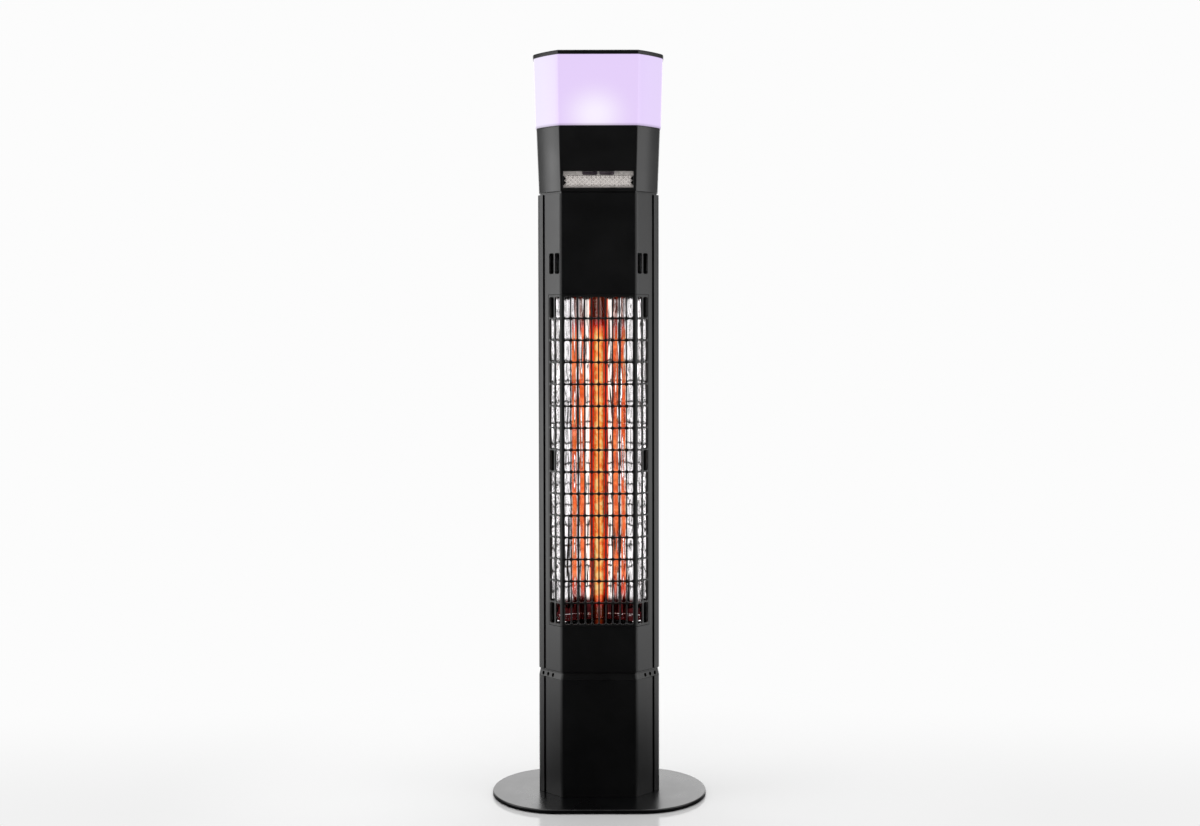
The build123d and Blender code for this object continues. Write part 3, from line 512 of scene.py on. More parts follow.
def bevelEdges(piece, width, steps, wanted):
    pickEdges(piece, wanted)
    bpy.ops.mesh.bevel(offset=width, segments=steps, affect="EDGES")
    leaveEdit()


def scoreFaces(piece, point, normal, wanted):
    # cuts the chosen faces along a plane and keeps both sides
    pickFaces(piece, wanted)
    bpy.ops.mesh.bisect(plane_co=point, plane_no=normal)
    leaveEdit()


def applyModifier(piece, kind, **settings):
    activate(piece)
    modifier = piece.modifiers.new(kind.lower(), kind)
    for name, value in settings.items():
        setattr(modifier, name, value)
    bpy.ops.object.modifier_apply(modifier=modifier.name)


def arrayAlong(piece, count, step):
    applyModifier(
        piece,
        "ARRAY",
        count=count,
        use_relative_offset=False,
        use_constant_offset=True,
        constant_offset_displace=step,
    )


def joinPieces(pieces):
    activate(pieces[0])
    for piece in pieces:
        piece.select_set(True)
    bpy.ops.object.join()
    return pieces[0]


def movePiece(piece, offset):
    pickAll(piece)
    bpy.ops.transform.translate(value=offset)
    leaveEdit()


def turnPiece(piece, angle, axis, centre=(0, 0, 0)):
    # the operator turns the other way where there is no window
    pickAll(piece)
    bpy.ops.transform.rotate(value=-radians(angle), orient_axis=axis, center_override=centre)
    leaveEdit()


def copyPiece(piece, name, offset=(0, 0, 0)):
    # a copy with a mesh of its own, moved by an offset
    activate(piece)
    bpy.ops.object.duplicate()
    twin = bpy.context.object
    twin.name = name
    movePiece(twin, offset)
    return twin


def cutOut(piece, cutters):
    cutter = joinPieces(cutters)
    applyModifier(piece, "BOOLEAN", operation="DIFFERENCE", solver="EXACT", object=cutter)
    bpy.data.objects.remove(cutter)


def weldOn(piece, other):
    applyModifier(piece, "BOOLEAN", operation="UNION", solver="EXACT", object=other)
    bpy.data.objects.remove(other)


def softenEdges(piece, width, segments=2):
    applyModifier(
        piece,
        "BEVEL",
        width=width,
        segments=segments,
        limit_method="ANGLE",
        angle_limit=radians(softAngle),
        use_clamp_overlap=True,
    )


def finishPiece(piece, node, smooth=sharpAngle):
    # it rides on the body of its CAD node and takes the finish of that node's slot
    activate(piece)
    bpy.ops.object.shade_smooth_by_angle(angle=radians(smooth))
    applyModifier(piece, "WEIGHTED_NORMAL", keep_sharp=True)
    piece.data.materials.clear()
    piece.data.materials.append(finishOfSlot[slotOfNode[node]])
    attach(piece, frame["nodes"][node]["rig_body"])
    print(piece.name, "made,", len(piece.data.polygons), "faces")


def dressPiece(piece, node, smooth=sharpAngle):
    # the piece stands for its CAD node
    finishPiece(piece, node, smooth)
    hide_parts(node)


def softCopy(node, name, width, segments=2):
    # a copy of a CAD node, merged, its flat faces made whole, with its edges rounded off
    activate(frame["nodes"][node])
    bpy.ops.object.duplicate()
    twin = bpy.context.object
    twin.name = name
    twin.parent = None
    del twin["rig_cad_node"]
    pickAll(twin)
    bpy.ops.mesh.remove_doubles(threshold=hair)
    bpy.ops.mesh.dissolve_limited(angle_limit=radians(flatAngle))
    leaveEdit()
    softenEdges(twin, width, segments)
    dressPiece(twin, node)


# the column's outline
column = {
    "width": 0.1626,
    "depth": 0.0816,
    "facetLeg": 0.0308,
    "frontRadius": 0.0072,
    "sideRadius": 0.006,
    "wall": 0.002,
    "clearance": 0.0003,
    "cornerSteps": 6,
    "facetSteps": 8,
    "edgeSoftness": 0.0004,
}
halfDepth = column["depth"] / 2
frontHalf = column["width"] / 2 - column["facetLeg"]


def alongFacet(point):
    # how far a point of the front lies along a facet from its front corner
    return (abs(point[0]) - frontHalf + point[1] + halfDepth) * diagonal


def facetPoint(along, side=1):
    return Vector((side * (frontHalf + along * diagonal), -halfDepth + along * diagonal, 0))


def bevelUprights(piece, offset, steps, wanted):
    bevelEdges(piece, offset, steps, lambda a, b: hypot(a.x - b.x, a.y - b.y) < hair and wanted(a))


def crownFacets(piece, leg, corner, crown):
    # divides each facet and pushes its middle outwards along a shallow curve
    pickEdges(piece, lambda a, b: abs(a.z - b.z) < hair and abs(a.x - b.x) > hair and abs(a.y - b.y) > hair)
    steps = column["facetSteps"]
    bpy.ops.mesh.subdivide(number_cuts=steps - 1)
    leaveEdit()
    for step in range(1, steps):
        share = step / steps
        x, y = corner[0] + leg * share, corner[1] - leg * share
        push = crown * (1 - (2 * share - 1) ** 2) * diagonal
        pickPoints(piece, lambda point: abs(abs(point.x) - x) < hair and abs(abs(point.y) - y) < hair)
        bpy.ops.transform.resize(value=(1 + push / x, 1 + push / y, 1), center_override=(0, 0, 0))
        leaveEdit()


def addColumnBlock(name, bottom, top, grow=0.0, topGrow=None, radii=None, crown=0.0):
    # a block with the column's eight sided outline, moved outwards by grow, wider at its top if asked
    halfX, halfY = column["width"] / 2 + grow, halfDepth + grow
    leg = column["facetLeg"] + grow * (2 - sqrt(2))
    piece = addBlock(name, (-halfX, -halfY, bottom), (halfX, halfY, top))
    bevelUprights(piece, leg, 1, lambda point: True)
    if crown:
        crownFacets(piece, leg, (halfX - leg, halfY), crown)
    turn = radians(45) - atan(4 * crown * diagonal / leg)
    frontRadius, sideRadius = radii or (column["frontRadius"] + grow, column["sideRadius"] + grow)
    steps = column["cornerSteps"]
    bevelUprights(piece, frontRadius * tan(turn / 2), steps, lambda point: abs(point.y) > halfY - hair)
    bevelUprights(piece, sideRadius * tan(turn / 2), steps, lambda point: abs(point.x) > halfX - hair)
    if topGrow is not None:
        pickFaces(piece, lambda middle, normal: normal.z > 0.5)
        spread = topGrow - grow
        wider = (1 + spread / halfX, 1 + spread / halfY, 1)
        bpy.ops.transform.resize(value=wider, center_override=(0, 0, top))
        leaveEdit()
    return piece


def openEnds(piece):
    removeFaces(piece, lambda middle, normal: abs(normal.z) > 0.5)


def thicken(piece, wall):
    applyModifier(piece, "SOLIDIFY", thickness=wall, offset=-1, use_even_offset=True)


def splitFacets(piece, edge):
    # scores both front facets square to their face, at a distance along them
    for side in (-1, 1):
        along = (side * diagonal, diagonal, 0)
        scoreFaces(piece, facetPoint(edge, side), along, lambda middle, normal: middle.y < 0)


def keepFront(piece, edge):
    splitFacets(piece, edge)
    removeFaces(piece, lambda middle, normal: middle.y > 0 or alongFacet(middle) > edge)


def keepRear(piece, edge):
    splitFacets(piece, edge)
    removeFaces(piece, lambda middle, normal: middle.y < 0 and alongFacet(middle) < edge)


def openWindow(piece, edge, bottom, top):
    # takes the middle out of a front skin
    splitFacets(piece, edge)
    for z in (bottom, top):
        scoreFaces(piece, (0, 0, z), (0, 0, 1), lambda middle, normal: True)
    removeFaces(piece, lambda middle, normal: alongFacet(middle) < edge and bottom < middle.z < top)


def addStrip(name, bottom, top, grow, edges, wall):
    # a band along both front facets, between two distances from the front corners
    strip = addColumnBlock(name, bottom, top, grow)
    openEnds(strip)
    keepFront(strip, edges[1])
    keepRear(strip, edges[0])
    thicken(strip, wall)
    return strip


# slots and vents: a rounded bar that cuts the wall, flared where it meets the outer face
cutterReach = 0.0065
flare = 0.0004
slotSteps = 5


def addSlotCutter(width, height, middle, radius):
    x, z = middle
    front, back = -halfDepth + flare, -halfDepth + cutterReach
    cutter = addBlock("slot", (x - width / 2, front, z - height / 2), (x + width / 2, back, z + height / 2))
    bevelEdges(cutter, radius, slotSteps, lambda a, b: abs(a.y - b.y) > hair)
    pickFaces(cutter, lambda middle, normal: normal.y < -0.9)
    bpy.ops.mesh.extrude_region_move(TRANSFORM_OT_translate={"value": (0, -2 * flare, 0)})
    spread = (1 + 4 * flare / width, 1, 1 + 4 * flare / height)
    bpy.ops.transform.resize(value=spread, center_override=(x, front, z))
    leaveEdit()
    return cutter


def addFacetCutter(width, height, along, z, radius, bothEnds=False):
    # the same bar, square to the right front facet, and its mirror image on the others
    cutter = addSlotCutter(width, height, (0, z), radius)
    movePiece(cutter, (0, halfDepth, 0))
    turnPiece(cutter, 45, "Z")
    place = facetPoint(along)
    movePiece(cutter, (place.x, place.y, 0))
    applyModifier(cutter, "MIRROR", use_axis=(True, bothEnds, False))
    return cutter


# the base
base = {
    "edgeRadius": 0.0016,
    "edgeSteps": 4,
    "underBevel": 0.0006,
    "underSteps": 2,
    "sides": 126,
    "pad": (0.044, 0.012),
    "padRoom": 0.0002,
}


def makeBasePlate():
    low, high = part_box("base_plate")
    radius, reach = high.y, high.x - high.y
    plate = addRod("basePlate", radius, (0, 0, low.z), (0, 0, high.z), base["sides"])
    for side in (-1, 1):
        pickPoints(plate, lambda point: point.x * side > 0)
        bpy.ops.transform.translate(value=(side * reach, 0, 0))
        leaveEdit()
    bevelEdges(plate, base["edgeRadius"], base["edgeSteps"], lambda a, b: min(a.z, b.z) > high.z - hair)
    bevelEdges(plate, base["underBevel"], base["underSteps"], lambda a, b: max(a.z, b.z) < low.z + hair)
    padLow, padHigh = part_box("base_pads")
    width, depth = base["pad"]
    room = base["padRoom"]
    pads = []
    for x in (padLow.x, padHigh.x - width):
        for y in (padLow.y, padHigh.y - depth):
            corner = (x + width + room, y + depth + room, padHigh.z)
            pads.append(addBlock("pad", (x - room, y - room, -past), corner))
    cutOut(plate, pads)
    dressPiece(plate, "base_plate")
    softCopy("base_pads", "basePads", fineEdge)


makeBasePlate()


# the covers
cover = {
    # along each front facet from its front corner: where the front cover ends and the rear cover starts
    "edge": 0.0301,
    "rearEdge": 0.0341,
    "lowBevel": 0.001,
    "lipReach": 0.0039,
    "lipWall": 0.0017,
    "lipFromEnd": 0.0123,
    "louvreRows": 6,
    "louvrePitch": 0.011,
    "louvreSize": (0.06, 0.0045),
    "louvreFromEnd": 0.056,
    "screwX": 0.04,
    "screwFromEnd": 0.032,
    "screwHole": 0.002,
    "screwPost": 0.0045,
    "screwHoleFront": 0.02,
    "boardPosts": ((0.038, 0.098), (0.038, 0.14)),  # across and up
    "boardPostHalf": 0.003,
    "boardFace": 0.0276,  # posts reach forwards to the control board here
    "frameBack": 0.0261,  # and to the inner frame here
    "switchRim": 0.0025,
    "glandHalf": 0.005,
}
rearWall = (halfDepth - 0.004, halfDepth + 0.002)  # what a cutter goes through at the back, front to back


def bevelFoot(piece, bottom):
    # folds the skin's lower edge inwards
    bevel = cover["lowBevel"]
    pickEdges(piece, lambda a, b: max(a.z, b.z) < bottom + bevel + hair)
    bpy.ops.mesh.extrude_region_move(TRANSFORM_OT_translate={"value": (0, 0, -bevel)})
    spread = (1 - bevel / (column["width"] / 2), 1 - bevel / halfDepth, 1)
    bpy.ops.transform.resize(value=spread, center_override=(0, 0, bottom))
    leaveEdit()


def addSkin(name, node, foot=0.0):
    # the column's outline over a node's height, open at both ends
    low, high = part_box(node)
    skin = addColumnBlock(name, low.z + foot, high.z)
    openEnds(skin)
    return skin


def finishWall(shell):
    thicken(shell, column["wall"])
    softenEdges(shell, column["edgeSoftness"])


def makeRearShell(name, node, foot=0.0):
    # the rear wall, with a lip that reaches under the front cover's edges
    low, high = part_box(node)
    shell = addSkin(name, node, foot)
    keepRear(shell, cover["rearEdge"])
    if foot:
        bevelFoot(shell, low.z)
    finishWall(shell)
    bottom, top = low.z + cover["lipFromEnd"], high.z - cover["lipFromEnd"]
    behind = -(column["wall"] + column["clearance"])
    wall, half = cover["lipWall"], column["wall"] / 2
    near, far = cover["edge"] - cover["lipReach"], cover["rearEdge"] + 2 * column["wall"]
    lip = addStrip("lip", bottom, top, behind, (near, far), wall)
    root = addStrip("root", bottom, top, -half, (cover["rearEdge"] + half, far), half + wall)
    return shell, [lip, root]


def addPost(x, z, half, front):
    back = halfDepth - column["wall"] / 2
    post = addBlock("post", (x - half, front, z - half), (x + half, back, z + half))
    softenEdges(post, half / 8)
    return post


def addOpening(halfX, halfZ, middle):
    return addBlock("opening", (-halfX, rearWall[0], middle - halfZ), (halfX, rearWall[1], middle + halfZ))


def makeLowerCovers():
    front = addSkin("lowerFrontCover", "lower_front_cover")
    keepFront(front, cover["edge"])
    finishWall(front)
    dressPiece(front, "lower_front_cover")
    rear, extras = makeRearShell("lowerRearCover", "lower_rear_cover")
    clear, rim = column["clearance"], cover["switchRim"]
    low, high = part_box("power_switch_body")
    halfX, halfZ = high.x - rim + clear, (high.z - low.z) / 2 - rim + clear
    rocker = addOpening(halfX, halfZ, (high.z + low.z) / 2)
    low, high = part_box("cable_gland")
    half = cover["glandHalf"] + clear
    cutOut(rear, [rocker, addOpening(half, half, (high.z + low.z) / 2)])
    for x, z in cover["boardPosts"]:
        for side in (-x, x):
            extras.append(addPost(side, z, cover["boardPostHalf"], cover["boardFace"]))
    dressPiece(joinPieces([rear] + extras), "lower_rear_cover")


makeLowerCovers()

guard = {
    "rows": 15,
    "rowPitch": 0.0292,
    "barHeight": 0.002,
    "columns": 10,
    "columnPitch": 0.00925,
    "slotWidth": 0.0074,
    "slotRadius": 0.0023,
    "facetSlots": (0.0064, 0.0173),  # their middles along each facet
    "facetSlotWidth": 0.0082,
    "windowEdge": 0.0237,  # where the cover's window ends along each facet
    "windowMargin": 0.0026,
    "flange": 0.002,
    "flangeWall": 0.0012,
}
slotHeight = guard["rowPitch"] - guard["barHeight"]
grilleLow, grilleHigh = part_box("guard_grille")
slotsBottom = (grilleLow.z + grilleHigh.z - guard["rows"] * guard["rowPitch"]) / 2
slotsTop = slotsBottom + guard["rows"] * guard["rowPitch"]


def addGuardFrame(name, edge, bottom, top, grow, wall):
    # a frame behind the window: edge, bottom and top are its outer sides
    inner, margin = guard["windowEdge"] - guard["windowMargin"], guard["windowMargin"] / 2
    band = addColumnBlock(name, bottom, top, grow)
    openEnds(band)
    keepFront(band, edge)
    openWindow(band, inner, slotsBottom - margin, slotsTop + margin)
    thicken(band, wall)
    return band


def addFacetSlots(z):
    width, radius = guard["facetSlotWidth"], guard["slotRadius"]
    return [addFacetCutter(width, slotHeight, along, z, radius) for along in guard["facetSlots"]]


def makeGuardGrille():
    clear, wall, reach = column["clearance"], column["wall"], guard["flange"]
    edge = guard["windowEdge"] - clear
    bottom, top = grilleLow.z + reach + clear, grilleHigh.z - reach - clear
    panel = addColumnBlock("guardGrille", bottom, top)
    openEnds(panel)
    keepFront(panel, edge)
    finishWall(panel)
    firstX = -guard["columnPitch"] * (guard["columns"] - 1) / 2
    firstZ = slotsBottom + guard["rowPitch"] / 2
    slots = addSlotCutter(guard["slotWidth"], slotHeight, (firstX, firstZ), guard["slotRadius"])
    arrayAlong(slots, guard["columns"], (guard["columnPitch"], 0, 0))
    cutter = joinPieces([slots] + addFacetSlots(firstZ))
    arrayAlong(cutter, guard["rows"], (0, 0, guard["rowPitch"]))
    cutOut(panel, [cutter])
    thin, outer = guard["flangeWall"], guard["windowEdge"] + reach
    rim = addGuardFrame("rim", edge, bottom, top, -wall / 2, wall / 2 + clear + thin)
    flange = addGuardFrame("flange", outer, grilleLow.z, grilleHigh.z, -wall - clear, thin)
    dressPiece(joinPieces([panel, rim, flange]), "guard_grille")


makeGuardGrille()


def makeUpperFrontCover():
    shell = addSkin("upperFrontCover", "upper_front_cover", cover["lowBevel"])
    keepFront(shell, cover["edge"])
    reach = guard["flange"]
    openWindow(shell, guard["windowEdge"], grilleLow.z + reach, grilleHigh.z - reach)
    bevelFoot(shell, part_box("upper_front_cover")[0].z)
    finishWall(shell)
    cutOut(shell, addFacetSlots(slotsTop + guard["rowPitch"] * 1.5))
    dressPiece(shell, "upper_front_cover")


def makeUpperRearCover():
    low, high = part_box("upper_rear_cover")
    rear, extras = makeRearShell("upperRearCover", "upper_rear_cover", cover["lowBevel"])
    pitch, rows, fromEnd = cover["louvrePitch"], cover["louvreRows"], cover["louvreFromEnd"]
    width, height = cover["louvreSize"]
    cutters = []
    for z in (low.z + fromEnd, high.z - fromEnd - pitch * (rows - 1)):
        louvres = addSlotCutter(width, height, (0, z), height / 2 - hair)
        arrayAlong(louvres, rows, (0, 0, pitch))
        turnPiece(louvres, 180, "Z")
        cutters.append(louvres)
    holes = []
    for z in (low.z + cover["screwFromEnd"], high.z - cover["screwFromEnd"]):
        for x in (-cover["screwX"], cover["screwX"]):
            extras.append(addPost(x, z, cover["screwPost"], cover["frameBack"]))
            hole = addRod("hole", cover["screwHole"], (x, cover["screwHoleFront"], z), (x, rearWall[1], z))
            holes.append(copyPiece(hole, "hole"))
            cutters.append(hole)
    cutOut(rear, cutters)
    posts = joinPieces(extras)
    cutOut(posts, holes)
    dressPiece(joinPieces([rear, posts]), "upper_rear_cover")


makeUpperFrontCover()
makeUpperRearCover()

screw = {
    "headRadius": 0.0032,
    "headSides": 40,
    "rim": 0.0013,
    "rimSteps": 5,
    "cross": 0.0036,
    "crossWidth": 0.0007,
    "crossDepth": 0.0012,
    "shankRadius": 0.0016,
    "shankSides": 24,
}


def makeCoverScrews():
    # pan heads with a cross recess
    low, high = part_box("rear_cover_screws")
    coverLow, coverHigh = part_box("upper_rear_cover")
    x, z = cover["screwX"], coverLow.z + cover["screwFromEnd"]
    rise = coverHigh.z - cover["screwFromEnd"] - z
    head = addRod("coverScrews", screw["headRadius"], (x, halfDepth, z), (x, high.y, z), screw["headSides"])
    bevelEdges(head, screw["rim"], screw["rimSteps"], lambda a, b: min(a.y, b.y) > high.y - hair)
    half, thin, floor = screw["cross"] / 2, screw["crossWidth"] / 2, high.y - screw["crossDepth"]
    arms = []
    for halfX, halfZ in ((half, thin), (thin, half)):
        corner = (x + halfX, high.y + past, z + halfZ)
        arms.append(addBlock("cross", (x - halfX, floor, z - halfZ), corner))
    for arm in arms:
        cutOut(head, [arm])
    shank = addRod("shank", screw["shankRadius"], (x, low.y, z), (x, halfDepth, z), screw["shankSides"])
    softenEdges(shank, fineEdge)
    screws = joinPieces([head, shank])
    places = ((-2 * x, 0, 0), (0, 0, rise), (-2 * x, 0, rise))
    others = [copyPiece(screws, "screw", place) for place in places]
    dressPiece(joinPieces([screws] + others), "rear_cover_screws")


makeCoverScrews()

collar = {
    "lean": 0.0018,  # how far the band draws in towards its top
    "bandBottom": 0.1639,
    "bandTop": 0.1715,
    "floor": 0.003,
    "sleeveWall": 0.002,
    "hole": (0.03, 0.014),
    "vents": (0.0173, 0.0266, 0.0359),  # their middles along each facet
    "ventSize": (0.0042, 0.005),
    "ventRadius": 0.0019,
    "sideVents": (-0.00465, 0.00465),
}


def makeVentedCollar():
    low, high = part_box("vented_collar")
    band = addColumnBlock("ventedCollar", collar["bandBottom"], collar["bandTop"], 0.0, -collar["lean"])
    outer = -(column["wall"] + column["clearance"])
    weldOn(band, addColumnBlock("sleeve", low.z, high.z, outer))
    bottom = low.z + collar["floor"]
    hollow = addColumnBlock("hollow", bottom, high.z + collar["floor"], outer - collar["sleeveWall"])
    cutOut(band, [hollow])
    halfX, halfY = collar["hole"]
    cutOut(band, [addBlock("hole", (-halfX, -halfY, low.z - past), (halfX, halfY, bottom + past))])
    middle = (collar["bandBottom"] + collar["bandTop"]) / 2
    width, height = collar["ventSize"]
    radius = collar["ventRadius"]
    cutters = [addFacetCutter(width, height, along, middle, radius, True) for along in collar["vents"]]
    for y in collar["sideVents"]:
        vent = addSlotCutter(width, height, (0, middle), radius)
        movePiece(vent, (0, halfDepth - column["width"] / 2, 0))
        turnPiece(vent, 90, "Z")
        movePiece(vent, (0, y, 0))
        applyModifier(vent, "MIRROR", use_axis=(True, False, False))
        cutters.append(vent)
    cutOut(band, cutters)
    dressPiece(band, "vented_collar")


makeVentedCollar()

# the heating section
quartz = {"wall": 0.001, "sides": 64, "edge": 0.0003}
coil = {
    "wire": 0.00036,
    "wireSides": 6,
    "radius": 0.002,
    "pitch": 0.00135,
    "steps": 14,
    "tailHalf": (0.0012, 0.0003),  # of its width and thickness
    "tailEdge": 0.0001,
    "sleeve": 0.0018,
    "sleeveSides": 24,
}


def makeQuartzTube():
    low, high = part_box("quartz_tube")
    y = (low.y + high.y) / 2
    tube = addRod("quartzTube", (high.x - low.x) / 2, (0, y, low.z), (0, y, high.z), quartz["sides"])
    openEnds(tube)
    thicken(tube, quartz["wall"])
    softenEdges(tube, quartz["edge"])
    dressPiece(tube, "quartz_tube", roundAngle)


def makeHeatingCoil():
    # wire wound on the screw's path, with a flat tail and a crimped sleeve at each end
    low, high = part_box("heating_coil")
    y = (low.y + high.y) / 2
    turns = round((heat["high"] - heat["low"]) / coil["pitch"])
    deselectAll()
    bpy.ops.mesh.primitive_circle_add(
        vertices=coil["wireSides"],
        radius=coil["wire"],
        location=(coil["radius"], 0, heat["low"]),
        rotation=(radians(90), 0, 0),
    )
    wire = nameNew("heatingCoil")
    winding = {"steps": coil["steps"], "iterations": turns, "screw_offset": coil["pitch"]}
    applyModifier(wire, "SCREW", axis="Z", **winding, use_normal_calculate=True)
    pickAll(wire)
    bpy.ops.mesh.fill_holes(sides=8)
    bpy.ops.mesh.select_all(action="SELECT")
    bpy.ops.mesh.normals_make_consistent(inside=False)
    leaveEdit()
    movePiece(wire, (0, y, 0))
    pieces = [wire]
    wide, thin = coil["tailHalf"]
    for start, end in ((low.z, heat["low"]), (heat["high"], high.z)):
        tail = addBlock("tail", (-wide, y - thin, start), (wide, y + thin, end))
        softenEdges(tail, coil["tailEdge"])
        middle, reach = (start + end) / 2, (end - start) / 3
        ends = (0, y, middle - reach), (0, y, middle + reach)
        crimp = addRod("crimp", coil["sleeve"], *ends, coil["sleeveSides"])
        softenEdges(crimp, roundEdge)
        pieces += [tail, crimp]
    dressPiece(joinPieces(pieces), "heating_coil", roundAngle)


makeQuartzTube()
makeHeatingCoil()
softCopy("tube_end_caps", "tubeEndCaps", roundEdge)

# the switch and the mains inlet
marks = {
    "pin": (0.0369, 0.074),  # back from the middle, and up
    "tilt": 10.0,
    "lean": 9.75,  # each half of the rocker's face leans towards its dip
    "face": 0.0052,  # from the pin to the rocker's face
    "height": 0.0034,  # how far each mark lies from the pin
    "half": 0.0003,
    "barHalf": 0.0015,
    "ring": 0.0014,
    "ringSteps": (36, 8),
    "proud": 0.00012,
}


def makeRockerMarks():
    # a printed bar and ring: on above, off below
    y, z = marks["pin"]
    place, high, low = y + marks["face"], z + marks["height"], z - marks["height"]
    half, tall, proud = marks["half"], marks["barHalf"], marks["proud"]
    bar = addBlock("rockerMarks", (-half, place - proud, high - tall), (half, place + proud, high + tall))
    softenEdges(bar, proud / 2)
    deselectAll()
    bpy.ops.mesh.primitive_torus_add(
        major_radius=marks["ring"],
        minor_radius=half * 0.8,
        major_segments=marks["ringSteps"][0],
        minor_segments=marks["ringSteps"][1],
        location=(0, place, low),
        rotation=(radians(90), 0, 0),
    )
    ring = nameNew("ring")
    pickAll(ring)
    bpy.ops.transform.resize(value=(1, 0.5, 1), center_override=(0, place, z))
    leaveEdit()
    turnPiece(bar, -marks["lean"], "X", (0, place, high))
    turnPiece(ring, marks["lean"], "X", (0, place, low))
    printed = joinPieces([bar, ring])
    turnPiece(printed, marks["tilt"], "X", (0, y, z))
    finishPiece(printed, "power_rocker", roundAngle)
    printed.data.materials[0] = printInk


softCopy("power_switch_body", "powerSwitchBody", fineEdge)
softCopy("power_rocker", "powerRocker", fineEdge)
makeRockerMarks()
softCopy("cable_gland", "cableGland", roundEdge)

# the head
head = {
    "wall": 0.0025,
    "frontRadius": 0.0028,
    "sideRadius": 0.012,
    "crown": 0.0022,  # how far each facet bulges
    # how far the outline lies outside the column's: the housing's foot and top, the lamp's, the cap
    "lowGrow": -0.0013,
    "highGrow": 0.0019,
    "lampLowGrow": 0.003,
    "lampHighGrow": 0.0055,
    "capGrow": 0.0064,
    "capBevel": 0.0016,
    "capSteps": 4,
    "skirtRadii": (0.0005, 0.006),
    "rimRadius": 0.0009,
    # half width, bottom and top of the openings, both from the housing's foot
    "window": (0.0465, 0.0035, 0.0264),
    "panel": (0.04, 0.036, 0.054),
    "wallSpan": (0.02, 0.06),  # a cutter goes through the front or rear wall from here to here
}


def addHeadBlock(name, bottom, top, lowGrow, highGrow):
    radii = (head["frontRadius"], head["sideRadius"])
    return addColumnBlock(name, bottom, top, lowGrow, highGrow, radii, head["crown"])


def makeHeadShell(name, node, lowGrow, highGrow):
    low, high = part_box(node)
    shell = addHeadBlock(name, low.z, high.z, lowGrow, highGrow)
    openEnds(shell)
    thicken(shell, head["wall"])
    return shell


def makeSpeakerHousing():
    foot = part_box("speaker_housing")[0].z
    shell = makeHeadShell("speakerHousing", "speaker_housing", head["lowGrow"], head["highGrow"])
    near, far = head["wallSpan"]
    openings = []
    for name, front, back in (("window", -far, -near), ("panel", near, far)):
        half, bottom, top = head[name]
        openings.append(addBlock(name, (-half, front, foot + bottom), (half, back, foot + top)))
    cutOut(shell, openings)
    softenEdges(shell, head["rimRadius"] / 2, 3)
    dressPiece(shell, "speaker_housing")


def makeLampDiffuser():
    shell = makeHeadShell("lampDiffuser", "lamp_diffuser", head["lampLowGrow"], head["lampHighGrow"])
    softenEdges(shell, column["edgeSoftness"])
    dressPiece(shell, "lamp_diffuser")


def makeTopCap():
    low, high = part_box("top_cap")
    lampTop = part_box("lamp_diffuser")[1].z
    cap = addHeadBlock("topCap", lampTop, high.z, head["capGrow"], head["capGrow"])
    bevelEdges(cap, head["capBevel"], head["capSteps"], lambda a, b: min(a.z, b.z) > high.z - hair)
    skirtGrow = head["lampHighGrow"] - head["wall"] - 2 * column["clearance"]
    skirt = addColumnBlock("skirt", low.z, lampTop, skirtGrow, radii=head["skirtRadii"])
    openEnds(skirt)
    thicken(skirt, column["wall"])
    dressPiece(joinPieces([cap, skirt]), "top_cap")


makeSpeakerHousing()
makeLampDiffuser()
makeTopCap()

# the speaker's mesh: pressed diamonds, staggered, each with a small hole
mesh = {
    "pitch": (0.0061, 0.0056),
    "columns": 15,
    "rows": 3,
    "middle": 0.8292,
    "height": 0.0009,
    "flat": 0.34,  # the share of a diamond that its flat top keeps
    "hole": 0.0005,  # the rim left round the hole
    "strip": 0.0005,
    "stripBelow": 0.001,
    "lap": 0.35,  # how far a strip laps the outer diamonds, as a share of their pitch
    "sharpAngle": 15,  # each diamond's faces stay crisp
}


def makeSpeakerMesh():
    low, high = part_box("speaker_mesh")
    back = high.y
    pitchX, pitchZ = mesh["pitch"]
    firstX = -pitchX * (mesh["columns"] - 1) / 2
    firstZ = mesh["middle"] - pitchZ * (mesh["rows"] - 1) / 2
    deselectAll()
    bpy.ops.mesh.primitive_cone_add(
        vertices=4,
        radius1=1,
        radius2=mesh["flat"],
        depth=mesh["height"],
        end_fill_type="NGON",
        location=(firstX, back - mesh["height"] / 2, firstZ),
        rotation=(radians(90), 0, 0),
    )
    bpy.context.object.scale = (pitchX / 2, pitchZ / 2, 1)
    cell = nameNew("speakerMesh")
    pickFaces(cell, lambda middle, normal: normal.y < -0.99)
    bpy.ops.mesh.inset(thickness=mesh["hole"])
    bpy.ops.mesh.extrude_region_move(TRANSFORM_OT_translate={"value": (0, mesh["height"] / 2, 0)})
    leaveEdit()
    between = copyPiece(cell, "between", (pitchX / 2, 0, pitchZ / 2))
    for piece, fewer in ((cell, 0), (between, 1)):
        arrayAlong(piece, mesh["columns"] - fewer, (pitchX, 0, 0))
        arrayAlong(piece, mesh["rows"] - fewer, (0, 0, pitchZ))
    # the plain strips: behind the window's foot, then below and above the diamonds
    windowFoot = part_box("speaker_housing")[0].z + head["window"][1]
    bottom, top = firstZ - pitchZ / 2, firstZ + pitchZ * (mesh["rows"] - 0.5)
    lap, strip = pitchZ * mesh["lap"], mesh["strip"]
    pieces = [cell, between]
    spans = ((low.z, windowFoot), (bottom - mesh["stripBelow"], bottom + lap), (top - lap, high.z))
    for start, end in spans:
        piece = addBlock("strip", (low.x, back - strip, start), (high.x, back, end))
        softenEdges(piece, strip / 4)
        pieces.append(piece)
    dressPiece(joinPieces(pieces), "speaker_mesh", mesh["sharpAngle"])


makeSpeakerMesh()

lens = {"width": 0.02, "corner": 0.0022, "cornerSteps": 6, "edge": 0.0003}


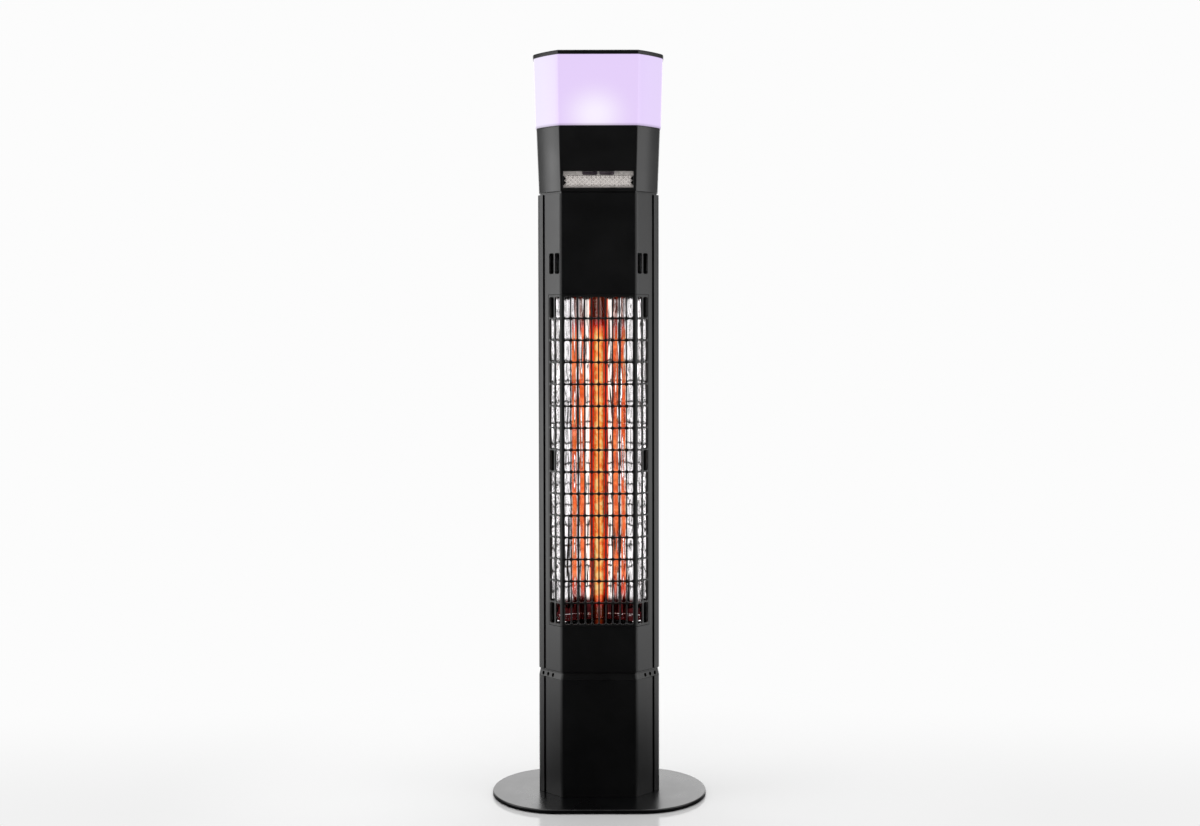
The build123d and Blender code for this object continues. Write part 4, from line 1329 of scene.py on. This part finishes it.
def makeSensorLenses():
    low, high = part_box("sensor_lenses")
    pieces = []
    for x in (low.x, high.x - lens["width"]):
        window = addBlock("sensorLenses", (x, low.y, low.z), (x + lens["width"], high.y, high.z))
        bevelEdges(
            window,
            lens["corner"],
            lens["cornerSteps"],
            lambda a, b: abs(a.y - b.y) > hair and a.z < low.z + hair,
        )
        softenEdges(window, lens["edge"])
        pieces.append(window)
    dressPiece(joinPieces(pieces), "sensor_lenses")


makeSensorLenses()
softCopy("button_panel", "buttonPanel", fineEdge)
for number in range(1, 5):
    softCopy(f"push_button_{number}", f"pushButton{number}", roundEdge, 3)
print("pieces made")

# the studio
studio = {
    "background": "FCFCFC",
    "floor": "E4E4E4",
    "floorFades": (0.25, 0.62),  # from the floor's own colour to the background's, metres from the object
    "paperMiddle": (0, -0.12, 0),  # the paper pales outwards from here, less fast to the sides
    "paperShape": (1 / 2.9, 1 / 0.58, 0),
    "nearPaper": "EFEFEF",
    "floorReach": 40.0,
    "fill": 0.55,  # what the background gives to matt surfaces
    # what a mirror sees of the background, from straight ahead of the object (0) to behind it (1)
    "mirrored": [
        (0.0, "0D0D0D"),
        (0.14, "101010"),
        (0.19, "C6C6C6"),
        (0.34, "C6C6C6"),
        (0.42, "929292"),
        (0.6, "767676"),
        (0.72, "505050"),
        (0.9, "FFFFFF"),
    ],
    "mirroredStrength": 2.2,
    "mirroredPaper": 1.4,
    "darkStart": -0.06,  # the floor that a mirror sees is dark before the object, from here forwards
    "darkWaist": 0.4,  # it is narrowest this far ahead
    "darkHalf": 0.37,
    "darkSpread": 0.55,
    "darkEdge": 0.12,
    "darkSoft": 0.1,
    "darkFloor": "202020",
}


def makeWorld():
    # white for the eye and for glass, a softer fill for matt surfaces, and dark paper ahead for mirrors
    world = bpy.data.worlds.new("studio")
    scene.world = world
    world.use_nodes = True
    tree = world.node_tree
    tree.nodes.clear()
    path = addNode(tree, "LightPath")
    glossy = path["Is Glossy Ray"]
    towards = addNode(tree, "TexCoord")["Object"]
    axes = addNode(tree, "SeparateXYZ", links={"Vector": towards})
    ahead = addNode(tree, "Math", {"operation": "MULTIPLY", 1: -1.0}, {0: axes["Y"]})[0]
    aside = addNode(tree, "Math", {"operation": "ABSOLUTE"}, {0: axes["X"]})[0]
    angle = addNode(tree, "Math", {"operation": "ARCTAN2"}, {0: aside, 1: ahead})[0]
    turn = addNode(tree, "Math", {"operation": "DIVIDE", 1: pi}, {0: angle})[0]
    mirrored = addNode(tree, "ValToRGB", {"stops": studio["mirrored"]}, {"Fac": turn})["Color"]
    white = {"data_type": "RGBA", 6: hexColour(studio["background"])}
    colour = addNode(tree, "Mix", white, {0: glossy, 7: mirrored})[2]
    seen = addNode(tree, "Math", {"operation": "MAXIMUM"}, {0: path["Is Camera Ray"], 1: glossy})[0]
    seen = addNode(tree, "Math", {"operation": "MAXIMUM"}, {0: seen, 1: path["Is Transmission Ray"]})[0]
    strength = addNode(tree, "MapRange", softStep(0.0, 1.0, studio["fill"], 1.0), {"Value": seen})["Result"]
    brighter = softStep(0.0, 1.0, 1.0, studio["mirroredStrength"])
    brighter = addNode(tree, "MapRange", brighter, {"Value": glossy})["Result"]
    strength = addNode(tree, "Math", {"operation": "MULTIPLY"}, {0: strength, 1: brighter})[0]
    light = addNode(tree, "Background", links={"Color": colour, "Strength": strength})
    addNode(tree, "OutputWorld", links={"Surface": light[0]})


def makeFloor():
    deselectAll()
    bpy.ops.mesh.primitive_circle_add(vertices=64, radius=studio["floorReach"], fill_type="NGON")
    floor = bpy.context.object
    floor.name = "floor"
    material, tree, place = newMaterial("floorPaper")
    axes = addNode(tree, "SeparateXYZ", links={"Vector": place})
    away = addNode(tree, "VectorMath", {"operation": "LENGTH"}, {0: place})["Value"]
    far = addNode(tree, "MapRange", softStep(*studio["floorFades"]), {"Value": away})["Result"]
    satin = {"Base Color": hexColour(studio["floor"]), "Roughness": 0.12, "Specular IOR Level": 0.15}
    near = addNode(tree, "BsdfPrincipled", satin)
    depth = measure(tree, place, studio["paperMiddle"], studio["paperShape"])
    depth = addNode(tree, "MapRange", softStep(0.0, 1.0), {"Value": depth})["Result"]
    stops = [(0.0, studio["nearPaper"]), (1.0, studio["background"])]
    paperColour = addNode(tree, "ValToRGB", {"stops": stops}, {"Fac": depth})["Color"]
    glossy = addNode(tree, "LightPath")["Is Glossy Ray"]
    brighter = softStep(0.0, 1.0, 1.0, studio["mirroredPaper"])
    strength = addNode(tree, "MapRange", brighter, {"Value": glossy})["Result"]
    sky = addNode(tree, "Emission", links={"Color": paperColour, "Strength": strength})
    seen = addNode(tree, "MixShader", links={0: far, 1: near[0], 2: sky[0]})
    # the dark paper that only mirrors see
    ahead = addNode(tree, "Math", {"operation": "MULTIPLY", 1: -1.0}, {0: axes["Y"]})[0]
    starting = softStep(studio["darkStart"], studio["darkStart"] + studio["darkEdge"])
    front = addNode(tree, "MapRange", starting, {"Value": ahead})["Result"]
    beyond = addNode(tree, "Math", {"operation": "SUBTRACT", 1: studio["darkWaist"]}, {0: ahead})[0]
    beyond = addNode(tree, "Math", {"operation": "ABSOLUTE"}, {0: beyond})[0]
    widening = {"operation": "MULTIPLY_ADD", 1: studio["darkSpread"], 2: studio["darkHalf"]}
    edge = addNode(tree, "Math", widening, {0: beyond})[0]
    beside = addNode(tree, "Math", {"operation": "ABSOLUTE"}, {0: axes["X"]})[0]
    beside = addNode(tree, "Math", {"operation": "SUBTRACT"}, {0: beside, 1: edge})[0]
    fading = softStep(studio["darkSoft"], -studio["darkSoft"])
    inside = addNode(tree, "MapRange", fading, {"Value": beside})["Result"]
    dark = addNode(tree, "Math", {"operation": "MULTIPLY"}, {0: front, 1: inside})[0]
    dark = addNode(tree, "Math", {"operation": "MULTIPLY"}, {0: dark, 1: glossy})[0]
    paper = addNode(tree, "Emission", {"Color": hexColour(studio["darkFloor"])})
    finishMaterial(tree, addNode(tree, "MixShader", links={0: dark, 1: seen[0], 2: paper[0]}))
    floor.data.materials.append(material)


# place, the point it faces, width, height and brightness; white paper in the same light is 1
softboxes = {
    "leftSoftbox": ((-1.4, -0.25, 0.62), (0, -0.25, 0.62), 0.9, 1.22, 2.3),
    "rightSoftbox": ((1.4, -0.36, 0.62), (0, -0.36, 0.62), 0.74, 1.22, 1.75),
    "headSoftbox": ((-1.36, -0.24, 0.94), (0, -0.24, 0.94), 0.36, 0.2, 3.2),
    "topSoftbox": ((0, 0.3, 3.0), (0, 0, 0), 2.0, 1.6, 2.6),
}


def addSoftbox(name, place, target, width, height, brightness):
    data = bpy.data.lights.new(name, "AREA")
    data.shape = "RECTANGLE"
    data.size, data.size_y = width, height
    data.energy = brightness * pi * width * height
    box = bpy.data.objects.new(name, data)
    scene.collection.objects.link(box)
    box.location = place
    box.rotation_euler = (Vector(target) - Vector(place)).to_track_quat("-Z", "Y").to_euler()
    box.visible_camera = False


makeWorld()
makeFloor()
for name, box in softboxes.items():
    addSoftbox(name, *box)
scene.view_settings.view_transform = "Standard"
print("studio lit")
